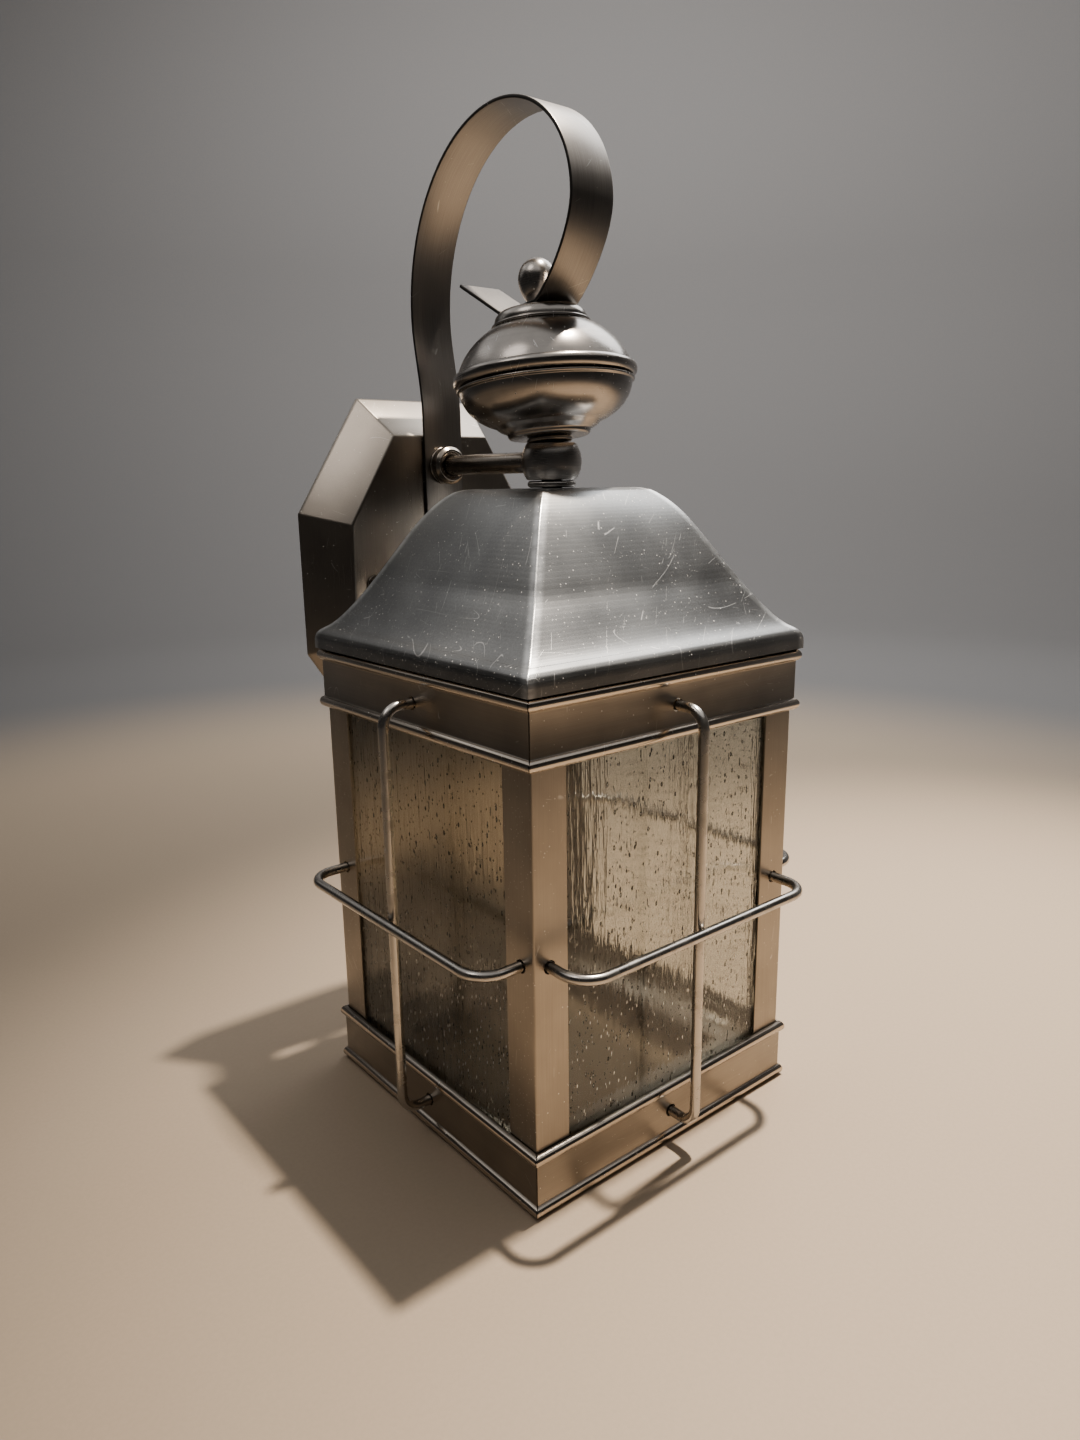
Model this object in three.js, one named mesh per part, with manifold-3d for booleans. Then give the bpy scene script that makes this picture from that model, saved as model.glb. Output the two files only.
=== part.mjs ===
// An outdoor wall lantern in satin nickel: a square glazed body under a bell-shaped roof, a spun finial, a scroll
// strap that loops over the top, and an arm that carries it all from a pressed wall plate.
//
// Millimetres, +Z up. The origin is the middle of the wall plate, on the wall. The lantern is in front of it,
// toward -Y. Most pieces are drawn in the lantern's own frame: the origin under the middle of the body, at the
// bottom of its base. A side of the body is drawn as its front and turned into place.

import * as THREE from "three";
import { ConvexGeometry } from "three/addons/geometries/ConvexGeometry.js";
import { mergeVertices } from "three/addons/utils/BufferGeometryUtils.js";
import Module from "manifold-3d";

const wasm = await Module();
wasm.setup();

// ---------- driving dimensions ----------

const GAP = 0.3; // between two pieces that rest on each other
const RUN = 0.3; // round a rod, tube or thread in its hole

// the square body
const BODY_HALF = 81.7; // from the axis to the outer face of the corner posts
const BODY_HEIGHT = 229.6;
const POST_FLANGE = 18.5;
const SHEET = 1;
const TOP_BAND_HEIGHT = 30.1;
const BASE_BAND_HEIGHT = 31;
const BEAD_RADIUS = 3;
const BASE_RETURN = 7; // width of the flat lip under the base bands
const SEAM = 0.3; // between two bands at a corner
const FRAME_SHEET = 1.2;
const LEDGE_OVERLAP = 22; // how far the pane ledge reaches in
const BRIDGE_WIDTH = 24; // the strap across the top frame
const PANE_THICKNESS = 2.5;
const RETAINER_LEG = 6.6;
const RETAINER_HALF_LENGTH = 55;

// the guard wires
const WIRE = 4.8;
const UPRIGHT_STANDOFF = 16.4; // post face to the middle of the upright wire
const UPRIGHT_BEND = 9;
const RAIL_BEND = 13;
const RAIL_INSET = 8.5; // rail hole to the outer corner of the post
const WIRE_TOUCH = 0.3; // rail to upright where they cross
const WIRE_END = 2; // how far a wire's end goes in past its sheet

// the roof
const ROOF_OVERHANG = 0.3; // past the bead under it
const ROOF_TOP_HALF = 31.5;
const ROOF_HEIGHT = 76.5;

// the axis: pipe, ball and arm
const PIPE = 9.6;
const PIPE_BORE = 6.5;
const PIPE_NUT_ACROSS = 14;
const PIPE_NUT_HEIGHT = 5.2;
const LOWER_RING = { radius: 11.4, height: 3.2 };
const BALL_RADIUS = 14.25;
const BALL_HALF_HEIGHT = 8.4;
const STUD = 6;
const ARM = 10;
const ARM_BORE = 7;
const COLLAR = { radius: 9.75, length: 8 };
const LEAD = 2.2;

// the finial, which the scroll strap pulls back toward the wall
const FINIAL_LEAN = 6; // degrees
const UPPER_RING = { radius: 10.75, height: 2.2 };
const BOWL = { foot: 19.25, step: 25, rim: 40.4, stepHeight: 5.8, height: 23.8 };
const DOME = { rim: 43, top: 23, height: 25, beadHeight: 6 };
const CAP = { lip: 23, top: 18, height: 6.9 };
const ACORN = { radius: 8.9, foot: 4.6, height: 19.8, waist: 10.3 };
const WASHER = { radius: 6.3, height: 1.2 };
const SPUN = 1; // wall of the spun pieces

// the scroll strap
const STRAP_WIDTH = 24;
const STRAP = 1.6;
const STRAP_BELOW_ARM = 29;
const STRAP_LIFT = 26; // arm to where the strap leaves the plate
const LOOP_RISE = 88; // cap to the crest of the loop
const LOOP_BACK = 6.6; // how far the loop swings behind the strap's foot
const LOOP_BACK_RISE = 8;
const LOOP_FRONT = 28.6; // axis to the front of the loop
const LOOP_FRONT_RISE = 41;
const LOOP_CREST = 24; // axis to the crest
const SEAT_FRONT = 11; // cap's middle to where the strap leaves it at the front
const SEAT_BACK = 12;
const TAIL = 35;
const TAIL_ANGLE = 28; // degrees above level

// the wall plate, an octagon taller than it is wide
const BODY_TO_WALL = 32.7; // back of the roof to the wall
const PLATE_DEPTH = 26.5;
const PLATE_SHEET = 1.2;
const PLATE_LIP = 5;
const RIM = { half: 74, topHalf: 36, shoulder: 37, top: 96 };
const FACE = { half: 57, topHalf: 29.5, shoulder: 31, top: 76 };
const ARM_ABOVE_PLATE = 60.7; // middle of the plate to the arm

// what holds the plate to the wall
const FIXING_SPACING = 88.9;
const FIXING = 4.2;
const FIXING_ENGAGED = 6.2; // thread inside the cap nut
const CAP_NUT = { across: 9.5, hex: 3.6, dome: 4.6 };
const FIXING_WASHER = { radius: 5.6, height: 0.8 };
const CROSSBAR = { length: 108, width: 20, sheet: 1.5, fromWall: 5 };
const SLOT = { length: 20, width: 4.8 };

// the lampholder, open end down
const HOLDER = { radius: 17.5, bore: 14.8, height: 30.7, floor: 5 };
const HOLDER_CAP = { radius: 19, height: 12.5 };
const SHELL = { radius: 14, wall: 0.5, pitch: 3.63, turns: 5, depth: 0.7 };

// ---------- sizes that follow ----------

const BAND_INNER = BODY_HALF + GAP;
const BAND_FACE = BAND_INNER + SHEET;
const ROOF_HALF = BAND_INNER + BEAD_RADIUS + ROOF_OVERHANG;
const POST_INNER = BODY_HALF - SHEET;
const PANE_OUTER = POST_INNER - GAP;
const PANE_INNER = PANE_OUTER - PANE_THICKNESS;
const PANE_HALF = BODY_HALF - RAIL_INSET - WIRE / 2 - 2.8;
const FRAME_HALF = POST_INNER - 0.5;

const RAIL_HEIGHT = BODY_HEIGHT / 2;
const LOW_WIRE = BASE_BAND_HEIGHT / 2;
const HIGH_WIRE = BODY_HEIGHT - TOP_BAND_HEIGHT / 2;
const UPRIGHT_OUT = BODY_HALF + UPRIGHT_STANDOFF;
const RAIL_OUT = UPRIGHT_OUT + WIRE + WIRE_TOUCH;
const WIRE_HOLE = WIRE / 2 + RUN;

const LEDGE_TOP = LOW_WIRE + WIRE / 2 + 1 + FRAME_SHEET;
const PANE_BOTTOM = LEDGE_TOP + GAP;
const PANE_TOP = HIGH_WIRE - WIRE / 2 - 3;
const FRAME_TOP = BODY_HEIGHT - 2.1;
const FRAME_BOTTOM = FRAME_TOP - FRAME_SHEET;

const EAVE = BODY_HEIGHT + GAP;
const ROOF_TOP = EAVE + ROOF_HEIGHT;
const BALL_BOTTOM = ROOF_TOP + LOWER_RING.height + 2 * GAP;
const ARM_HEIGHT = BALL_BOTTOM + BALL_HALF_HEIGHT;
const PIPE_TOP = ARM_HEIGHT - ARM / 2 + GAP;
const PIPE_HOLE = PIPE / 2 + RUN;
const STUD_HOLE = STUD / 2 + RUN;

const AXIS_OUT = ROOF_HALF + BODY_TO_WALL;
const FACE_BACK = AXIS_OUT - PLATE_DEPTH; // from the axis to the plate's front face
const STRAP_Y = FACE_BACK - GAP - STRAP / 2;
const PLATE_HEIGHT = ARM_HEIGHT - ARM_ABOVE_PLATE;

// heights in the finial's own frame, from the middle of the ball
const UPPER_RING_Z = BALL_HALF_HEIGHT + GAP;
const BOWL_Z = UPPER_RING_Z + UPPER_RING.height + GAP;
const DOME_Z = BOWL_Z + BOWL.height + GAP;
const CAP_Z = DOME_Z + DOME.height + GAP;
const SEAT_Z = CAP_Z + CAP.height + GAP + STRAP / 2;
const WASHER_Z = SEAT_Z + STRAP / 2 + GAP;
const ACORN_Z = WASHER_Z + WASHER.height + GAP;

const HOLDER_CAP_TOP = FRAME_BOTTOM - PIPE_NUT_HEIGHT - 3 * GAP;
const HOLDER_TOP = HOLDER_CAP_TOP - HOLDER_CAP.height - GAP;
const PIPE_BOTTOM = HOLDER_CAP_TOP - HOLDER_CAP.height / 2;
const SHELL_TOP = HOLDER_TOP - HOLDER.floor - GAP;

// ---------- finishes ----------

const nickel = { color: 0x8f8a83, roughness: 0.42, metalness: 1 };
const darkNickel = { color: 0x6b6a68, roughness: 0.38, metalness: 1 };
const wireNickel = { color: 0x9b9792, roughness: 0.3, metalness: 1 };
const spunNickel = { color: 0x85807a, roughness: 0.28, metalness: 1 };
const clearGlass = { color: 0xe4ebe4, roughness: 0.06, metalness: 0, transparent: true, opacity: 0.35 };
const zincSteel = { color: 0xa9abac, roughness: 0.45, metalness: 1 };
const brass = { color: 0xb59650, roughness: 0.35, metalness: 1 };
const porcelain = { color: 0xe8e4da, roughness: 0.25, metalness: 0 };
const blackSleeve = { color: 0x17171a, roughness: 0.6, metalness: 0 };
const whiteSleeve = { color: 0xdedbd2, roughness: 0.6, metalness: 0 };

// ---------- helpers ----------

// Join and cut closed geometries as exact solids.
function solid(geometry) {
  const bare = geometry.clone();
  bare.deleteAttribute("normal");
  bare.deleteAttribute("uv");
  const merged = mergeVertices(bare, 1e-4);
  const vertProperties = merged.attributes.position.array;
  const triVerts = new Uint32Array(merged.index.array);
  return new wasm.Manifold(new wasm.Mesh({ numProp: 3, vertProperties, triVerts }));
}

function shaped(body) {
  const mesh = body.getMesh();
  const geometry = new THREE.BufferGeometry();
  geometry.setAttribute("position", new THREE.BufferAttribute(mesh.vertProperties, 3));
  geometry.setIndex(new THREE.BufferAttribute(mesh.triVerts, 1));
  geometry.computeVertexNormals();
  return geometry;
}

function cut(geometry, ...tools) {
  return shaped(tools.reduce((body, tool) => body.subtract(solid(tool)), solid(geometry)));
}

function joined(geometry, ...others) {
  return shaped(others.reduce((body, other) => body.add(solid(other)), solid(geometry)));
}

// A straight extrusion of a shape drawn in X and Y, from z0 to z1.
function slab(shape, z0, z1, curveSegments = 8) {
  const settings = { depth: z1 - z0, bevelEnabled: false, curveSegments };
  return new THREE.ExtrudeGeometry(shape, settings).translate(0, 0, z0);
}

function polygon(points) {
  return new THREE.Shape(points.map(([x, y]) => new THREE.Vector2(x, y)));
}

function rectangle(x0, y0, x1, y1) {
  return polygon([[x0, y0], [x1, y0], [x1, y1], [x0, y1]]);
}

function circle(radius, x = 0, y = 0) {
  return new THREE.Path().absarc(x, y, radius, 0, 2 * Math.PI);
}

function hexagon(across) {
  const corners = Array.from({ length: 6 }, (_, i) => (i * Math.PI) / 3);
  const radius = across / Math.sqrt(3);
  return polygon(corners.map((a) => [radius * Math.cos(a), radius * Math.sin(a)]));
}

// A solid of revolution about Z. The profile, [radius, z] pairs, closes on itself or starts and ends on the axis.
function turned(profile, segments = 20) {
  const closed = [...profile, profile[0]];
  const area = profile.reduce((sum, [r, z], i) => sum + r * closed[i + 1][1] - closed[i + 1][0] * z, 0);
  const onAxis = profile[0][0] === 0 && profile.at(-1)[0] === 0;
  const run = onAxis ? profile : closed;
  const points = (area < 0 ? [...run].reverse() : run).map(([r, z]) => new THREE.Vector2(r, z));
  return new THREE.LatheGeometry(points, segments).rotateX(Math.PI / 2);
}

// A round bar along Z.
function bar(radius, z0, z1, segments = 16) {
  return turned([[0, z0], [radius, z0], [radius, z1], [0, z1]], segments);
}

function tube(radius, bore, z0, z1, segments = 20) {
  return turned([[bore, z0], [radius, z0], [radius, z1], [bore, z1]], segments);
}

// The same bar laid along Y.
function barAlongY(radius, y0, y1, x = 0, z = 0, segments = 16) {
  return bar(radius, y0, y1, segments).rotateX(-Math.PI / 2).translate(x, 0, z);
}

// Points on a curve, as [x, y] pairs.
function bezier(a, b, c, d, steps) {
  const [p, q, r, s] = [a, b, c, d].map(([x, y]) => new THREE.Vector2(x, y));
  return new THREE.CubicBezierCurve(p, q, r, s).getPoints(steps).map((v) => [v.x, v.y]);
}

function ellipse(cx, cy, rx, ry, from, to, steps) {
  return Array.from({ length: steps + 1 }, (_, i) => {
    const angle = THREE.MathUtils.degToRad(from + ((to - from) * i) / steps);
    return [cx + rx * Math.cos(angle), cy + ry * Math.sin(angle)];
  });
}

// A bent wire's middle line: straight stretches with a round bend at each corner. It has a station at each end of
// a straight, and a few round each bend.
class BentLine extends THREE.Curve {
  constructor(corners, radius, steps = 5) {
    super();
    this.stations = [];
    corners.forEach((corner, i) => {
      const before = corners[i - 1];
      const after = corners[i + 1];
      if (!before || !after) {
        const along = before ? corner.clone().sub(before) : after.clone().sub(corner);
        this.stations.push({ point: corner, tangent: along.normalize() });
        return;
      }
      const into = corner.clone().sub(before).normalize();
      const out = after.clone().sub(corner).normalize();
      const start = corner.clone().addScaledVector(into, -radius);
      for (let k = 0; k <= steps; k++) {
        const angle = ((Math.PI / 2) * k) / steps;
        const point = start.clone().addScaledVector(into, radius * Math.sin(angle));
        point.addScaledVector(out, radius * (1 - Math.cos(angle)));
        const tangent = into.clone().multiplyScalar(Math.cos(angle)).addScaledVector(out, Math.sin(angle));
        this.stations.push({ point, tangent });
      }
    });
  }
  station(u) {
    return this.stations[Math.round(u * (this.stations.length - 1))];
  }
  getPoint(t, target = new THREE.Vector3()) {
    return target.copy(this.station(t).point);
  }
  getPointAt(u, target) {
    return this.getPoint(u, target);
  }
  getTangentAt(u, target = new THREE.Vector3()) {
    return target.copy(this.station(u).tangent);
  }
}

// Its section is a polygon drawn round the true circle.
function bentRod(corners, radius, diameter, sides) {
  const line = new BentLine(corners.map((c) => new THREE.Vector3(...c)), radius);
  const r = diameter / 2 / Math.cos(Math.PI / sides);
  const section = polygon(ellipse(0, 0, r, r, 0, 360 - 360 / sides, sides - 1));
  return new THREE.ExtrudeGeometry(section, { extrudePath: line, steps: line.stations.length - 1 });
}

function piece(name, geometry, finish) {
  const mesh = new THREE.Mesh(geometry, new THREE.MeshStandardMaterial(finish));
  mesh.name = name;
  return mesh;
}

// ---------- the body ----------

const SIDES = [
  { side: "front", turn: 0, glazed: true },
  { side: "right", turn: 90, glazed: true },
  { side: "rear", turn: 180, glazed: false },
  { side: "left", turn: 270, glazed: true },
];

function onSide(mesh, turn) {
  mesh.rotation.z = THREE.MathUtils.degToRad(turn);
  return mesh;
}

// A strip with a half-round bead along each edge, mitred at both ends. The section is drawn as [out, z].
function bandStrip(z0, z1, returned) {
  const turnIn = Math.acos(SHEET / BEAD_RADIUS);
  const bead = THREE.MathUtils.radToDeg(turnIn);
  const low = ellipse(BAND_INNER, z0 + BEAD_RADIUS, BEAD_RADIUS, BEAD_RADIUS, -90, bead, 7);
  const high = ellipse(BAND_INNER, z1 - BEAD_RADIUS, BEAD_RADIUS, BEAD_RADIUS, -bead, 90, 7);
  const lip = [[BAND_INNER, z0 + SHEET], [BAND_INNER - BASE_RETURN, z0 + SHEET], [BAND_INNER - BASE_RETURN, z0]];
  const section = polygon([...low, ...high, ...(returned ? lip : [])]);
  const strip = slab(section, -1, 1);
  const at = strip.attributes.position;
  for (let i = 0; i < at.count; i++) {
    const out = at.getX(i);
    const along = -at.getZ(i) * (out - SEAM / 2);
    at.setXYZ(i, along, -out, at.getY(i));
  }
  return strip;
}

function wireHoleInBand(height) {
  return barAlongY(WIRE_HOLE, -BAND_FACE - 2 * BEAD_RADIUS, -BODY_HALF + SHEET, 0, height);
}

function bands() {
  return SIDES.flatMap(({ side, turn, glazed }) => {
    let top = bandStrip(BODY_HEIGHT - TOP_BAND_HEIGHT, BODY_HEIGHT, false);
    let base = bandStrip(0, BASE_BAND_HEIGHT, true);
    if (glazed) {
      top = cut(top, wireHoleInBand(HIGH_WIRE));
      base = cut(base, wireHoleInBand(LOW_WIRE));
    }
    return [
      onSide(piece(`top_band_${side}`, top, nickel), turn),
      onSide(piece(`base_band_${side}`, base, nickel), turn),
    ];
  });
}

// An angle at one corner of the body, drawn at the front left corner and turned into place. Its front flange has
// a rail hole if the side that it belongs to has a rail, and so has its other flange.
function cornerPost(holeInFront, holeInSide) {
  const inner = BODY_HALF - SHEET;
  const edge = BODY_HALF - POST_FLANGE;
  const outline = [
    [-BODY_HALF, -BODY_HALF], [-edge, -BODY_HALF], [-edge, -inner], [-inner, -inner], [-inner, -edge],
    [-BODY_HALF, -edge],
  ];
  const angle = slab(polygon(outline), SHEET + GAP, BODY_HEIGHT - GAP);
  const at = BODY_HALF - RAIL_INSET;
  const front = barAlongY(WIRE_HOLE, -BODY_HALF - 1, -inner + 1, -at, RAIL_HEIGHT);
  const side = barAlongY(WIRE_HOLE, -BODY_HALF - 1, -inner + 1, at, RAIL_HEIGHT).rotateZ(-Math.PI / 2);
  return cut(angle, ...(holeInFront ? [front] : []), ...(holeInSide ? [side] : []));
}

function posts() {
  return [
    onSide(piece("corner_post_front_left", cornerPost(true, true), nickel), 0),
    onSide(piece("corner_post_front_right", cornerPost(true, true), nickel), 90),
    onSide(piece("corner_post_rear_right", cornerPost(false, true), nickel), 180),
    onSide(piece("corner_post_rear_left", cornerPost(true, false), nickel), 270),
  ];
}

function panes() {
  const glass = rectangle(-PANE_HALF, -PANE_OUTER, PANE_HALF, -PANE_INNER);
  const back = PANE_INNER - GAP;
  const foot = back - SHEET - RETAINER_LEG;
  const angle = polygon([
    [back, PANE_BOTTOM], [back, PANE_BOTTOM + RETAINER_LEG], [back - SHEET, PANE_BOTTOM + RETAINER_LEG],
    [back - SHEET, PANE_BOTTOM + SHEET], [foot, PANE_BOTTOM + SHEET], [foot, PANE_BOTTOM],
  ]);
  const retainer = slab(angle, -RETAINER_HALF_LENGTH, RETAINER_HALF_LENGTH);
  retainer.rotateX(Math.PI / 2).rotateZ(-Math.PI / 2);
  return SIDES.filter(({ glazed }) => glazed).flatMap(({ side, turn }) => [
    onSide(piece(`glass_pane_${side}`, slab(glass, PANE_BOTTOM, PANE_TOP), clearGlass), turn),
    onSide(piece(`pane_retainer_${side}`, retainer, nickel), turn),
  ]);
}

function backPanel() {
  const sheet = rectangle(-FRAME_HALF, PANE_OUTER - SHEET, FRAME_HALF, PANE_OUTER);
  return piece("back_panel", slab(sheet, PANE_BOTTOM, FRAME_BOTTOM - GAP), nickel);
}

// The square ring that the panes stand on. It leaves the bottom of the body open.
function paneLedge() {
  const ring = rectangle(-FRAME_HALF, -FRAME_HALF, FRAME_HALF, FRAME_HALF);
  const inside = FRAME_HALF - LEDGE_OVERLAP;
  ring.holes.push(rectangle(-inside, -inside, inside, inside));
  return piece("pane_ledge", slab(ring, LEDGE_TOP - FRAME_SHEET, LEDGE_TOP), nickel);
}

// The sheet frame that closes the top of the body, with a strap across it for the pipe.
function topFrame() {
  const ring = rectangle(-FRAME_HALF, -FRAME_HALF, FRAME_HALF, FRAME_HALF);
  const inside = FRAME_HALF - LEDGE_OVERLAP;
  ring.holes.push(rectangle(-inside, -inside, inside, -BRIDGE_WIDTH / 2));
  ring.holes.push(rectangle(-inside, BRIDGE_WIDTH / 2, inside, inside));
  ring.holes.push(circle(PIPE_HOLE));
  return piece("top_frame", slab(ring, FRAME_BOTTOM, FRAME_TOP), nickel);
}

function guardWires() {
  const deep = -(PANE_OUTER + GAP + SHEET - WIRE_END);
  const rail = -(POST_INNER - WIRE_END);
  const at = BODY_HALF - RAIL_INSET;
  const upright = [[0, deep, HIGH_WIRE], [0, -UPRIGHT_OUT, HIGH_WIRE], [0, -UPRIGHT_OUT, LOW_WIRE], [0, deep, LOW_WIRE]];
  const across = [
    [-at, rail, RAIL_HEIGHT], [-at, -RAIL_OUT, RAIL_HEIGHT], [at, -RAIL_OUT, RAIL_HEIGHT], [at, rail, RAIL_HEIGHT],
  ];
  return SIDES.filter(({ glazed }) => glazed).flatMap(({ side, turn }) => [
    onSide(piece(`guard_upright_${side}`, bentRod(upright, UPRIGHT_BEND, WIRE, 10), wireNickel), turn),
    onSide(piece(`guard_rail_${side}`, bentRod(across, RAIL_BEND, WIRE, 10), wireNickel), turn),
  ]);
}

// ---------- the roof ----------

// The bell's outline on one face, from the eave up, as [half side, z]. It is a short upright lip, a tight shoulder,
// a hollow sweep and a round brow that ends at the flat top.
function roofOutline() {
  const at = (u, v) => [ROOF_TOP_HALF + u * (ROOF_HALF - ROOF_TOP_HALF), EAVE + v * ROOF_HEIGHT];
  return [
    at(1, 0),
    at(1, 0.06),
    at(0.985, 0.1),
    ...bezier(at(0.93, 0.136), at(0.836, 0.186), at(0.64, 0.366), at(0.474, 0.57), 7),
    ...bezier(at(0.474, 0.57), at(0.325, 0.752), at(0.214, 0.922), at(0, 1), 7).slice(1),
  ];
}

// The outline moved in by the sheet, square to each stretch.
function innerOutline(outline, wall) {
  const first = outline[0];
  const last = outline.at(-1);
  const middle = outline.slice(1, -1).map(([s, z], i) => {
    const [before, after] = [outline[i], outline[i + 2]];
    const along = new THREE.Vector2(after[0] - before[0], after[1] - before[1]).normalize();
    return [s - wall * along.y, z + wall * along.x];
  });
  return [[first[0] - wall, first[1]], ...middle, [last[0] - wall, last[1] - wall]];
}

function roof() {
  const outline = roofOutline();
  const inner = innerOutline(outline, SHEET);
  const profile = [...outline, [0, ROOF_TOP], [0, ROOF_TOP - SHEET], ...inner.reverse()];
  const onDiagonal = profile.map(([s, z]) => [s * Math.SQRT2, z]);
  const lip = onDiagonal.findIndex(([r]) => r === 0);
  const fromAxis = [...onDiagonal.slice(lip + 1), ...onDiagonal.slice(0, lip + 1)];
  const shell = turned(fromAxis, 4).rotateZ(Math.PI / 4);
  return piece("roof_shell", cut(shell, bar(PIPE_HOLE, ROOF_TOP - 5, ROOF_TOP + 5)), darkNickel);
}

// ---------- along the axis ----------

function nut(name, across, height, hole, z0) {
  const outline = hexagon(across);
  outline.holes.push(circle(hole));
  return piece(name, slab(outline, z0, z0 + height), zincSteel);
}

function roundedRing({ radius, height }, bore, z0) {
  const edge = ellipse(radius - height / 2, z0 + height / 2, height / 2, height / 2, -90, 90, 4);
  return turned([[bore, z0], ...edge, [bore, z0 + height]]);
}

// The ball is cut flat below for the lower ring, and above, square to the leaning finial, for the upper one. Its
// passages meet in the middle, where the leads turn from the pipe into the arm.
function neckBall() {
  const far = 2 * BALL_RADIUS;
  const lean = THREE.MathUtils.degToRad(-FINIAL_LEAN);
  const ball = turned(ellipse(0, 0, BALL_RADIUS, BALL_RADIUS, -90, 90, 12).map(([r, z]) => [Math.max(r, 0), z]), 24);
  const above = bar(far, BALL_HALF_HEIGHT, far).rotateX(lean);
  const stud = bar(STUD_HOLE, ARM / 4, far).rotateX(lean);
  const pipe = bar(PIPE_HOLE, -far, 0);
  const arm = barAlongY(ARM / 2 + RUN, 0, far);
  const shape = cut(ball, bar(far, -far, -BALL_HALF_HEIGHT), above, stud, pipe, arm);
  return piece("neck_ball", shape.translate(0, 0, ARM_HEIGHT), spunNickel);
}

function axisPieces() {
  const lowerRing = roundedRing(LOWER_RING, PIPE_HOLE, ROOF_TOP + GAP);
  return [
    piece("threaded_pipe", tube(PIPE / 2, PIPE_BORE / 2, PIPE_BOTTOM, PIPE_TOP), zincSteel),
    nut("pipe_nut_frame", PIPE_NUT_ACROSS, PIPE_NUT_HEIGHT, PIPE_HOLE, FRAME_BOTTOM - GAP - PIPE_NUT_HEIGHT),
    nut("pipe_nut_roof", PIPE_NUT_ACROSS, PIPE_NUT_HEIGHT, PIPE_HOLE, ROOF_TOP - SHEET - GAP - PIPE_NUT_HEIGHT),
    piece("lower_neck_ring", lowerRing, spunNickel),
    neckBall(),
  ];
}

// ---------- the finial ----------

function finialBowl() {
  const [b, z] = [BOWL, BOWL_Z];
  const step = z + b.stepHeight;
  const top = z + b.height;
  const bead = top - 1;
  const outer = [
    [STUD_HOLE, z], [b.foot - 0.7, z], [b.foot, z + 0.7], [b.foot + 0.4, z + 2.4], [b.step - 2, step - 1.8],
    ...bezier([b.step, step], [b.step + 9, step + 3], [b.rim - 0.9, step + 9], [b.rim, bead - 1], 6),
    [b.rim + 1.3, bead], [b.rim, top],
  ];
  const inner = [
    [b.rim - SPUN, top],
    ...bezier([b.rim - SPUN, bead - 1], [b.rim - 2, step + 9.6], [b.step + 8, step + 4], [b.step - 0.6, step + SPUN], 6),
    [b.foot - 0.8, z + 3], [b.foot - 1.2, z + SPUN], [STUD_HOLE, z + SPUN],
  ];
  return turned([...outer, ...inner], 24);
}

function finialDome() {
  const [d, z] = [DOME, DOME_Z];
  const top = z + d.height;
  const sweep = d.height - d.beadHeight;
  const start = BOWL.rim;
  const middle = z + d.beadHeight / 2;
  const rim = ellipse(start, middle, d.rim - start, d.beadHeight / 2, -90, 90, 6);
  const outer = bezier(
    [start, z + d.beadHeight], [start - 2.9, top - 0.55 * sweep], [d.top + 7, top - 0.18 * sweep], [d.top, top], 7,
  );
  const inner = bezier(
    [d.top - 0.4, top - SPUN], [d.top + 6.2, top - 0.24 * sweep], [start - 4, top - 0.6 * sweep],
    [start - SPUN, z + d.beadHeight], 6,
  );
  return turned([...rim, ...outer.slice(1), [STUD_HOLE, top], [STUD_HOLE, top - SPUN], ...inner, [start - SPUN, z]], 24);
}

function finialCap() {
  const [c, z] = [CAP, CAP_Z];
  const top = z + c.height;
  const side = bezier([c.lip - 1.4, z + 1.8], [c.lip - 1.6, z + 4.6], [c.top + 1.8, top - 0.4], [c.top, top], 4);
  const hollow = [[STUD_HOLE, top - SPUN], [c.top - 1, top - SPUN], [c.lip - 3.4, z + 1.8], [c.lip - 3.4, z]];
  return turned([[c.lip, z], [c.lip, z + 1.4], ...side, [STUD_HOLE, top], ...hollow], 24);
}

// An egg with a blind threaded hole from below.
function acornNut() {
  const [a, z] = [ACORN, ACORN_Z];
  const foot = THREE.MathUtils.radToDeg(Math.acos(a.foot / a.radius));
  const lower = a.waist / Math.sin(THREE.MathUtils.degToRad(foot));
  const below = ellipse(0, z + a.waist, a.radius, lower, -foot, 0, 5);
  const above = ellipse(0, z + a.waist, a.radius, a.height - a.waist, 0, 90, 7).map(([r, h]) => [Math.max(r, 0), h]);
  above.at(-1)[0] = 0;
  const hole = ACORN_Z + a.waist;
  return turned([[0, hole], [STUD_HOLE, hole], [STUD_HOLE, z], ...below, ...above.slice(1)], 20);
}

// Everything above the ball leans with the finial.
function finial() {
  const group = new THREE.Group();
  group.position.z = ARM_HEIGHT;
  group.rotation.x = THREE.MathUtils.degToRad(-FINIAL_LEAN);
  const upperRing = roundedRing(UPPER_RING, STUD_HOLE, UPPER_RING_Z);
  const washer = roundedRing(WASHER, STUD_HOLE, WASHER_Z);
  group.add(
    piece("finial_stud", bar(STUD / 2, ARM / 4 + 1, ACORN_Z + ACORN.waist - 2), zincSteel),
    piece("upper_neck_ring", upperRing, spunNickel),
    piece("finial_bowl", finialBowl(), spunNickel),
    piece("finial_dome", finialDome(), spunNickel),
    piece("finial_cap", finialCap(), spunNickel),
    piece("acorn_washer", washer, spunNickel),
    piece("acorn_nut", acornNut(), spunNickel),
  );
  return group;
}

// ---------- the scroll strap ----------

// A point of the leaning finial, [y, z] in its own frame, in the lantern's frame.
function fromFinial(y, z) {
  const lean = THREE.MathUtils.degToRad(FINIAL_LEAN);
  return [y * Math.cos(lean) + z * Math.sin(lean), ARM_HEIGHT - y * Math.sin(lean) + z * Math.cos(lean)];
}

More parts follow.
